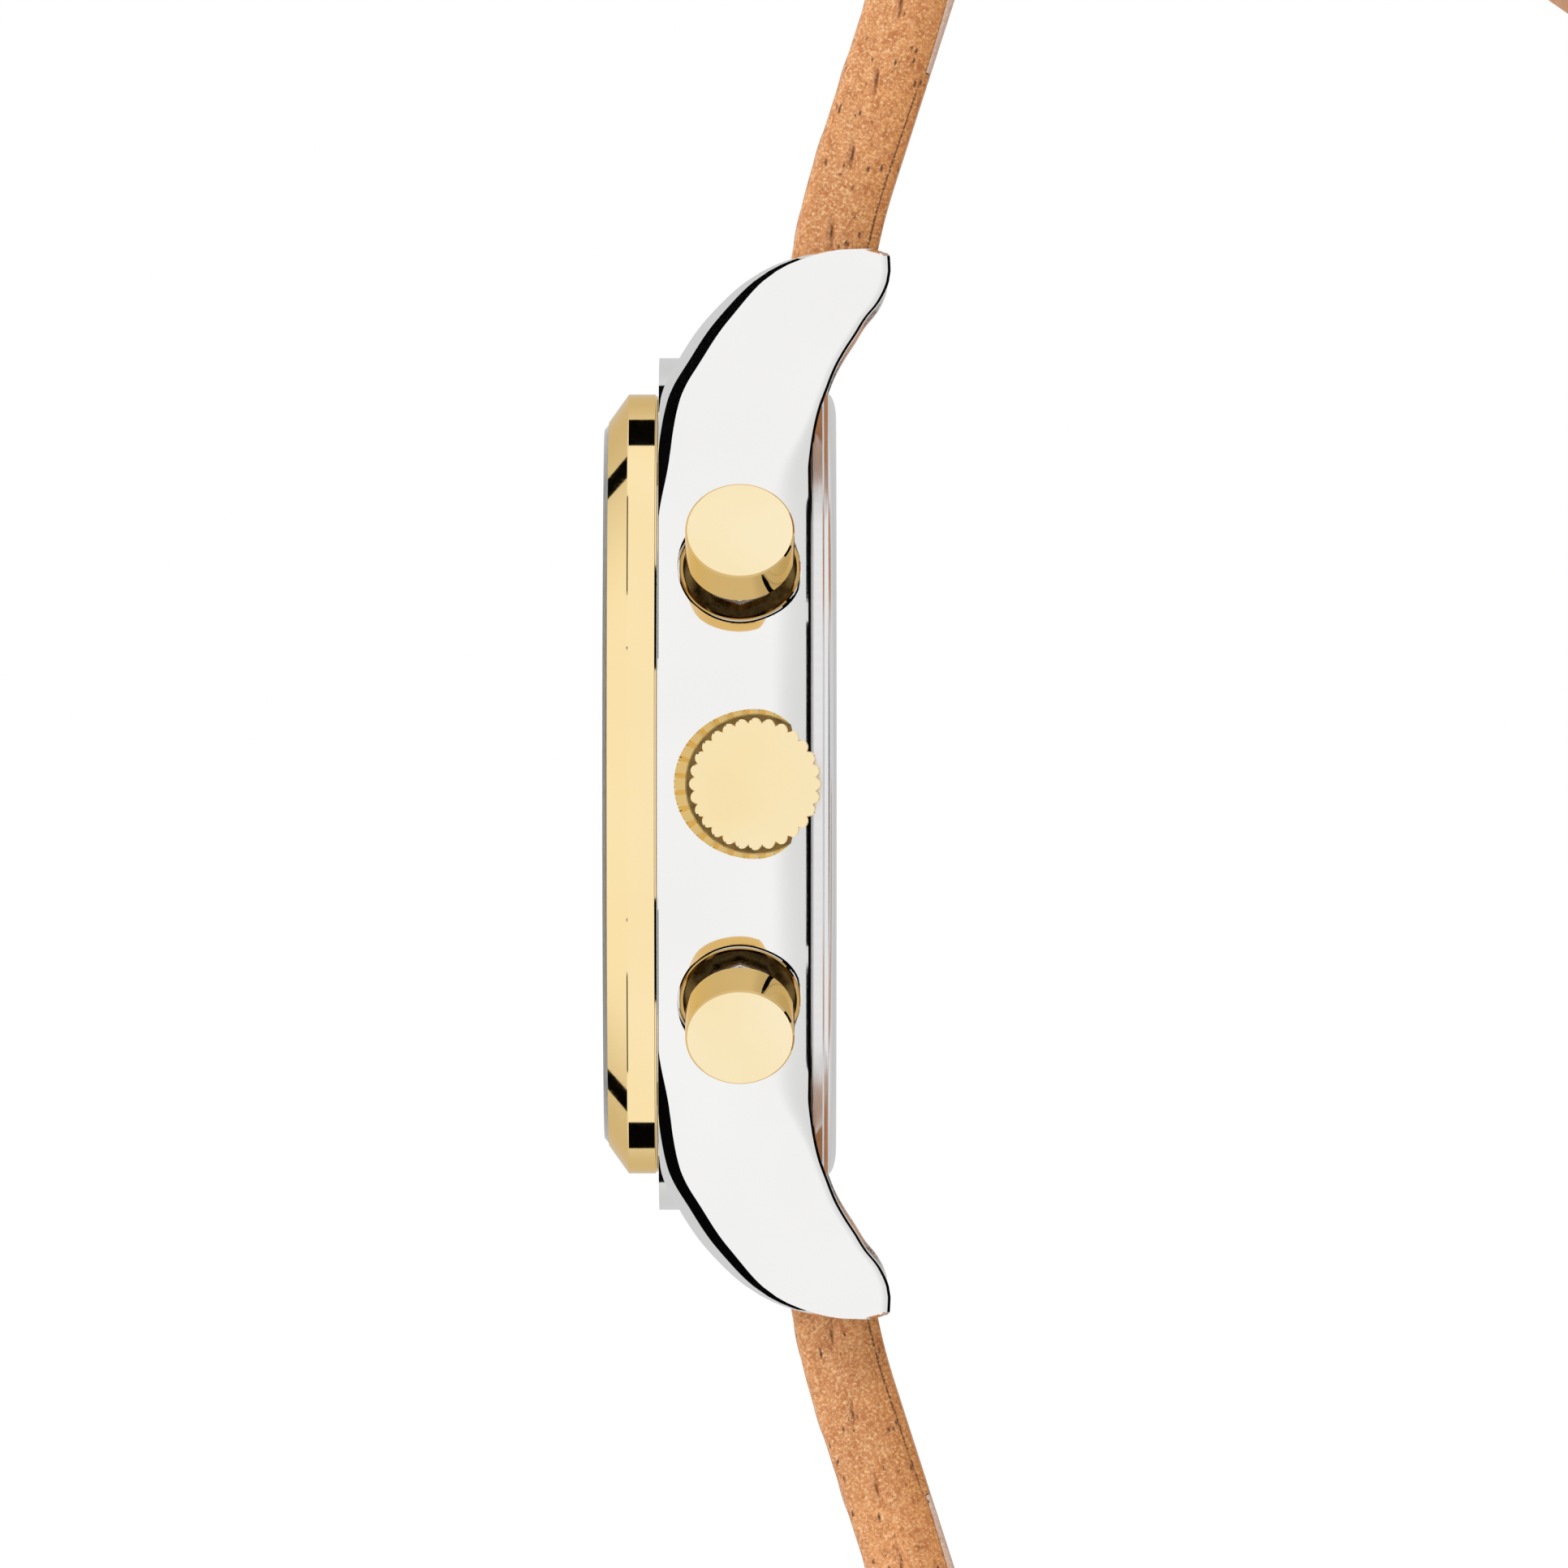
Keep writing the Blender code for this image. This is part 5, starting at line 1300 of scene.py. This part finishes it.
rings_6 = leather_rings(tail_route, tail_end, tail_end, tail_half_width, False)
strap_6 = strap_mesh("strap_6_nubuck", rings_6, seat_6, [cross_rod(0.95, seat_6)] + punches())
skin_6 = lining_rings(tail_route, tail_end, tail_half_width)
lining_6 = strap_mesh("strap_6_lining_skin", skin_6, seat_6, punches())
keep(strap_6, nubuck, "strap_6", ["strap_6_leather"], 50)
keep(lining_6, lining, "strap_6", ["strap_6_lining"], 50)

# %% [markdown]
# ### Stitches
# A row of stitches runs along each edge on the front. The places come from the strap's path; a node
# tree puts one short, slightly arched thread on each, turned with the path.


# %% Stitch tree
stitches, sizes = node_tree("stitch_row", [
    ("Geometry", "Geometry", None), ("Length", "Float", 2.2), ("Thread", "Float", 0.18),
    ("Lift", "Float", 0.12), ("Finish", "Material", None)])
bow = add_node(stitches, "GeometryNodeCurvePrimitiveBezierSegment", {"mode": "POSITION"}, Resolution=8)
half_length = maths(stitches, "MULTIPLY", sizes["Length"], 0.5)
for label, share in (("Start", -1.0), ("Start Handle", -0.7), ("End Handle", 0.7), ("End", 1.0)):
    spot = add_node(stitches, "ShaderNodeCombineXYZ", Y=maths(stitches, "MULTIPLY", half_length, share),
                    Z=maths(stitches, "MULTIPLY", sizes["Lift"], 1.3 if "Handle" in label else -1.0))
    stitches.links.new(spot.outputs["Vector"], bow.inputs[label])
round_thread = add_node(stitches, "GeometryNodeCurvePrimitiveCircle", Resolution=8, Radius=sizes["Thread"])
strand = add_node(stitches, "GeometryNodeCurveToMesh", Curve=bow.outputs["Curve"],
                  Profile_Curve=round_thread.outputs["Curve"], Fill_Caps=True)
aim = add_node(stitches, "GeometryNodeInputNamedAttribute", {"data_type": "FLOAT_VECTOR"}, Name="turn")
placed = add_node(stitches, "GeometryNodeInstanceOnPoints", Points=sizes["Geometry"],
                  Instance=strand.outputs["Mesh"], Rotation=aim.outputs["Attribute"])
finish_tree(stitches, placed.outputs["Instances"], sizes["Finish"])
print("stitch tree:", len(stitches.nodes), "nodes")

# %% [markdown]
# Each thread sinks its ends into the leather, a little inside the edge.


# %% Sew both straps
def stitch_row(name, route, end, body, place):
    """A stitch at every pitch along both edges, up to a distance from the spring bar."""
    points, turns = [], []
    for distance in np.arange(STITCH_START, end, STITCH_PITCH):
        y, z, lean = along(route, distance)
        out = thickness_at(distance) / 2 - 0.15
        for side in (-1, 1):
            x = side * (half_width_at(distance) - 1.7)
            points.append((x, y + out * math.sin(lean), z + out * math.cos(lean)))
            turns.append((-lean, 0, 0))
    mesh = bpy.data.meshes.new("stitch_places")
    mesh.from_pydata(points, [], [])
    attribute = mesh.attributes.new("turn", "FLOAT_VECTOR", "POINT")
    attribute.data.foreach_set("vector", [value for turn in turns for value in turn])
    source = bpy.data.objects.new("stitch_places", mesh)
    scene.collection.objects.link(source)
    values = {"Length": 2.5, "Thread": 0.14, "Lift": 0.08, "Finish": thread}
    keep(grow(name, stitches, values, place, source), thread, body, (), 60)


stitch_row("strap_12_stitches", buckle_route, buckle_at - 22, "strap_12", seat_12)
stitch_row("strap_6_stitches", tail_route, tail_end - TAIL_POINT, "strap_6", seat_6)

# %% [markdown]
# ## Keepers, buckle and tang
# Two leather loops hold the strap's tail: one is sewn down by the buckle, the other slides. The pin
# buckle is a polished frame on a bar, with a tang that rests on its front.


# %% Loops and rounded plates
def rounded_path(half_x, low, high, radius, steps=6):
    """A rectangle's outline with round corners."""
    corners = [(half_x - radius, high - radius, 0), (-half_x + radius, high - radius, math.pi / 2),
               (-half_x + radius, low + radius, math.pi), (half_x - radius, low + radius, math.pi * 1.5)]
    path = []
    for x, z, start in corners:
        for a in np.linspace(start, start + math.pi / 2, steps):
            path.append((x + radius * math.cos(a), z + radius * math.sin(a)))
    return path


def keeper_loop(name, finish, body, node, distance):
    """A leather strip of five millimetres bent into a rounded loop round the strap."""
    half_x = half_width_at(distance) + 0.3
    low, high = -THIN / 2 - 0.2, THIN / 2 + THIN + 0.4
    inner = rounded_path(half_x, low, high, 0.7)
    outer = rounded_path(half_x + 1.1, low - 1.1, high + 1.1, 1.3)
    shape = bmesh.new()
    section = [(0, -2.35), (0.12, -2.47), (0.5, -2.5), (0.88, -2.47), (1, -2.3), (1, 2.3), (0.88, 2.47),
               (0.5, 2.5), (0.12, 2.47), (0, 2.35)]
    rows = []
    for (ix, iz), (ox, oz) in zip(inner, outer):
        rows.append([shape.verts.new((ix + (ox - ix) * share, along_y, iz + (oz - iz) * share))
                     for share, along_y in section])
    for row, following in zip(rows, rows[1:] + rows[:1]):
        for index in range(len(section)):
            after = (index + 1) % len(section)
            shape.faces.new((row[index], row[after], following[after], following[index]))
    keep(to_object(name, shape, strap_frame(buckle_route, distance, seat_12)), finish, body, [node], 60)


def rounded_plate(name, outline, low, high, radius, place):
    """A plate whose edges are all rounded."""
    shape = plate(outline, low, high)
    bmesh.ops.recalc_face_normals(shape, faces=shape.faces)
    bmesh.ops.bevel(shape, geom=shape.edges[:], offset=radius, segments=3, affect="EDGES", clamp_overlap=True)
    return to_object(name, shape, place)


print("loop helpers ready")

# %% [markdown]
# The frame is one plate in the outline of a wide U that is closed at its far end, and it is bored for
# the bar. The tang is an eye round the bar that runs out into a flat tongue.

# %% Keepers, buckle and tang
keeper_loop("fixed_keeper_loop", nubuck_plain, "strap_12", "fixed_keeper", buckle_at - 7.8)
keeper_loop("free_keeper_loop", nubuck_plain, "free_keeper", "free_keeper", buckle_at - 17.3)
gap_x, arm, buckle_long = end_half + 0.4, 1.8, 9.5
arm_out = gap_x + arm
inner_end = buckle_long - arm
frame_outer = [(gap_x, -bar_loop), (arm_out, -bar_loop), (arm_out, buckle_long - 2.2),
               (arm_out - 0.35, buckle_long - 1.0), (arm_out - 1.1, buckle_long - 0.25),
               (arm_out - 2.2, buckle_long)]
frame_inner = [(gap_x - 0.8, inner_end), (gap_x, inner_end - 0.8)]
frame_outline = (frame_outer + [(-x, y) for x, y in reversed(frame_outer)]
                 + [(-x, y) for x, y in reversed(frame_inner)] + frame_inner)
buckle = rounded_plate("buckle_frame_polished", frame_outline, -1.0, 1.0, 0.3, buckle_seat)
bar_seat = to_object("bar_seat", rod(0.78, -10.95, 10.95), buckle_seat @ CROSS)
carve(buckle, [(bar_seat, "DIFFERENCE")])
keep(buckle, steel, "buckle", ["buckle_frame"], 40)
pin = softened([(0, -10.9), (0.75, -10.9), (0.75, 10.9), (0, 10.9)], 0.12, False)
buckle_bar = to_object("buckle_bar_turned", turned(pin, 48, False), buckle_seat @ CROSS)
keep(buckle_bar, steel, "buckle", ["buckle_bar"])

eye, rest, lift = 1.45, 1.05, 0.8
tang_side = arc(eye, math.radians(60), math.radians(405), 40)
tang_side += [(buckle_long + 0.4, rest), (buckle_long + 0.4, rest + 0.35), (buckle_long - 0.8, rest + lift),
              (eye * math.cos(math.radians(60)), rest + lift)]
SIDE = Matrix.Rotation(math.pi / 2, 4, "Z") @ Matrix.Rotation(math.pi / 2, 4, "X")
tang = rounded_plate("tang_polished", tang_side, -TANG_HALF_WIDTH, TANG_HALF_WIDTH, 0.12, buckle_seat @ SIDE)
carve(tang, [(to_object("eye", rod(0.8, -3, 3), buckle_seat @ CROSS), "DIFFERENCE")])
keep(tang, steel, "buckle_tang", ["buckle_tang"], 40)

# %% [markdown]
# ## Dial
# The dial is a silvered disc with three sunk counters. Bars in a ring make every division: one node
# tree draws the batons, the minute track and the counters' ticks, only its inputs differ.

# %% Bars in a ring
bars, sizes = node_tree("bars_in_a_ring", [
    ("Count", "Int", 12), ("Distance", "Float", 14.0), ("Length", "Float", 2.4), ("Width", "Float", 0.6),
    ("Height", "Float", 0.3), ("Taper", "Float", 0.7), ("Finish", "Material", None)])
row = add_node(bars, "GeometryNodePoints", Count=sizes["Count"])
number = add_node(bars, "GeometryNodeInputIndex").outputs["Index"]
angle = maths(bars, "DIVIDE", maths(bars, "MULTIPLY", number, math.tau), sizes["Count"])
spot = add_node(bars, "ShaderNodeCombineXYZ",
                X=maths(bars, "MULTIPLY", maths(bars, "SINE", angle), sizes["Distance"]),
                Y=maths(bars, "MULTIPLY", maths(bars, "COSINE", angle), sizes["Distance"]))
bars.links.new(spot.outputs["Vector"], row.inputs["Position"])
peak = maths(bars, "MULTIPLY", sizes["Taper"], math.sqrt(0.5))
block = add_node(bars, "GeometryNodeMeshCone", Vertices=4, Radius_Bottom=math.sqrt(0.5), Radius_Top=peak,
                 Depth=1.0)
square = add_node(bars, "GeometryNodeTransform", Geometry=block.outputs["Mesh"], Rotation=(0, 0, math.pi / 4))
grown_to = add_node(bars, "ShaderNodeCombineXYZ", X=sizes["Width"], Y=sizes["Length"], Z=sizes["Height"])
heading = add_node(bars, "ShaderNodeCombineXYZ", Z=maths(bars, "MULTIPLY", angle, -1.0))
placed = add_node(bars, "GeometryNodeInstanceOnPoints", Points=row.outputs["Points"],
                  Instance=square.outputs["Geometry"], Rotation=heading.outputs["Vector"],
                  Scale=grown_to.outputs["Vector"])
finish_tree(bars, placed.outputs["Instances"], sizes["Finish"])


def bar_ring(name, finish, count, distance, length, width, height, taper, place):
    """Keep one ring of bars that stand on a place of the dial."""
    values = {"Count": count, "Distance": distance, "Length": length, "Width": width, "Height": height,
              "Taper": taper, "Finish": finish}
    seat = Matrix.Translation((*place[:2], place[2] + height / 2))
    keep(grow(name, bars, values, seat), finish, "case", (), 20)


print("bars tree:", len(bars.nodes), "nodes")

# %% [markdown]
# The dial is cut for the hands' arbors and for its three sunk counters.

# %% Cut the dial
dial_radius, dial_top = dial_high.x, dial_high.z
COUNTER_RADIUS, COUNTER_SINK, COUNTER_DISTANCE = 3.7, 0.10, 7.6
counters = {"seconds": (-COUNTER_DISTANCE, 0), "minutes": (COUNTER_DISTANCE, 0),
            "hours": (0, -COUNTER_DISTANCE)}
dial = to_object("dial_silvered", rod(dial_radius, dial_low.z, dial_top, 192))
cuts = [("centre", (0, 0), 1.05, dial_low.z - 1)]
cuts += [(f"{word}_hole", place, 0.23, dial_low.z - 1) for word, place in counters.items()]
cuts += [(f"{word}_sink", place, COUNTER_RADIUS, dial_top - COUNTER_SINK) for word, place in counters.items()]
tools = [to_object(word, rod(radius, low, dial_top + 1, 96), Matrix.Translation((*place, 0)))
         for word, place, radius, low in cuts]
carve(dial, [(tool, "DIFFERENCE") for tool in tools])
keep(dial, dial_finish, "case", ["dial"], 20)

# %% [markdown]
# Each counter has a grooved disc, a gilt rim and its ticks. Applied batons mark the hours, and a
# polished ring leads up to the crystal.

# %% Counters, batons and ticks
floor_level = dial_top - COUNTER_SINK
for word, place in counters.items():
    disc_edge, disc_top = COUNTER_RADIUS - 0.02, floor_level + 0.02
    disc = [(0.25, floor_level), (disc_edge, floor_level), (disc_edge, disc_top), (0.25, disc_top)]
    seat = Matrix.Translation((*place, 0))
    made = to_object(f"{word}_counter_disc", turned(disc, 96), seat)
    keep(made, grooved(f"{word}_counter_grooves", place), "case", (), 20)
    rim = [(COUNTER_RADIUS - 0.1, dial_top - 0.02), (COUNTER_RADIUS + 0.1, dial_top - 0.02),
           (COUNTER_RADIUS + 0.06, dial_top + 0.05), (COUNTER_RADIUS - 0.06, dial_top + 0.05)]
    keep(to_object(f"{word}_counter_rim", turned(rim, 96), seat), hand_gold, "case")
    ticks, marks = {"hours": (12, 4), "seconds": (60, 4), "minutes": (30, 6)}[word]
    bar_ring(f"{word}_counter_ticks", ink, ticks, 3.15, 0.35, 0.07, 0.008, 1.0, (*place, disc_top))
    bar_ring(f"{word}_counter_marks", ink, marks, 3.0, 0.65, 0.13, 0.01, 1.0, (*place, disc_top))
bar_ring("hour_batons", hand_gold, 12, 13.35, 2.3, 0.75, 0.32, 0.55, (0, 0, dial_top))
bar_ring("minute_track", ink, 60, 15.25, 0.7, 0.11, 0.01, 1.0, (0, 0, dial_top))
bar_ring("fifth_second_track", ink, 300, 15.4, 0.4, 0.05, 0.008, 1.0, (0, 0, dial_top))
ring_low, ring_high = bench_box("dial_flange_ring")
flange = [(ring_high.x, ring_low.z), (ring_high.x, ring_high.z), (ring_high.x - 0.45, ring_high.z),
          (ring_high.x - 0.95, ring_low.z)]
flange_ring = to_object("flange_ring_polished", turned(softened(flange, 0.05), 192))
keep(flange_ring, steel, "case", ["dial_flange_ring"])

# %% [markdown]
# ## Hands
# Each hand is one flat piece with a round hub and a bevelled edge, standing at the time the CAD
# gives it. It rides on the wheel below it, so it turns when that wheel turns. The hour and minute
# hands have an open hub, through which the chronograph hand's arbor passes; the rest have a cap.


# %% Draw the hands
def hand(name, node, body, place, share, size, level, hole=None):
    """A hand at a share of a full turn; size is length, tail, half width, hub radius, thickness."""
    length, tail, half_width, hub, thick = size
    reach = math.acos(half_width / hub)
    side = [(half_width * 0.9, -tail), (half_width * 0.9, -hub * 1.4)] + arc(hub, -reach, reach, 14)
    side += [(half_width * 1.05, hub * 2.2), (half_width, length * 0.55), (half_width * 0.4, length)]
    outline = side + [(-x, y) for x, y in reversed(side)]
    seat = Matrix.Translation((*place, 0)) @ Matrix.Rotation(-math.tau * share, 4, "Z")
    bevel = min(0.05, half_width * 0.25)
    shape = plate(outline, level, level + thick)
    top_edges = [edge for edge in shape.edges if all(v.co.z > level + thick / 2 for v in edge.verts)]
    bmesh.ops.bevel(shape, geom=top_edges, offset=bevel, segments=1, affect="EDGES", clamp_overlap=True)
    made = to_object(name, shape, seat)
    if hole:
        tool = to_object("hand_hole", rod(hole, level - 1, level + 1), seat)
        carve(made, [(tool, "DIFFERENCE")])
    else:
        cap_low, cap_high = level + thick - 0.02, level + thick + 0.06
        cap = [(0, cap_low), (hub * 0.45, cap_low), (hub * 0.45, cap_high), (0, cap_high)]
        tool = to_object("hub_cap", turned(softened(cap, 0.02, False), 48, False), seat)
        carve(made, [(tool, "UNION")])
    keep(made, hand_gold, body, [node], 20)


HOUR, MINUTE = 10, 8
hour_size = (8.6, 1.8, 0.5, 1.3, 0.15)
minute_size = (13.4, 2.2, 0.42, 1.05, 0.15)
chrono_size = (15, 4.2, 0.16, 0.75, 0.12)
small_size = (2.9, 0.9, 0.14, 0.5, 0.12)
hand("hour_hand_gilt", "hour_hand", "hours", (0, 0), (HOUR + MINUTE / 60) / 12, hour_size, dial_top + 0.38,
     0.94)
hand("minute_hand_gilt", "minute_hand", "minutes", (0, 0), MINUTE / 60, minute_size, dial_top + 0.75, 0.56)
hand("chrono_hand_gilt", "chrono_seconds_hand", "chrono_seconds", (0, 0), 0, chrono_size, dial_top + 1.15)
for name, body, counter, share in (("small_seconds_hand", "seconds", "seconds", 36 / 60),
                                   ("minute_counter_hand", "minute_counter", "minutes", 0),
                                   ("hour_counter_hand", "hour_counter", "hours", 0)):
    hand(f"{name}_gilt", name, body, counters[counter], share, small_size, dial_top + 0.12)

# %% [markdown]
# ## Pieces kept from the CAD
# The movement, the springs, the gaskets and the bars already have their final shape. They only get
# their finishes: the first word of the list that a node's name contains decides.

# %% Finish the CAD nodes
finish_words = [("gasket", rubber), ("screw", spring_steel), ("plate", movement_plate),
                ("bridge", movement_plate), ("holder", movement_plate), ("cock", movement_plate),
                ("escape_wheel", spring_steel), ("column_wheel", spring_steel), ("pallet", spring_steel),
                ("balance_spring", spring_steel), ("spring_bar", spring_steel), ("wheel", wheel_brass),
                ("barrel", wheel_brass), ("balance", wheel_brass)]
kept_nodes = {name: node for name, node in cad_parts.items() if name not in covered}
for name, node in kept_nodes.items():
    finish = next((finish for word, finish in finish_words if word in name), spring_steel)
    for slot in node.material_slots:
        slot.material = finish
print("kept from the CAD:", len(kept_nodes), "nodes")
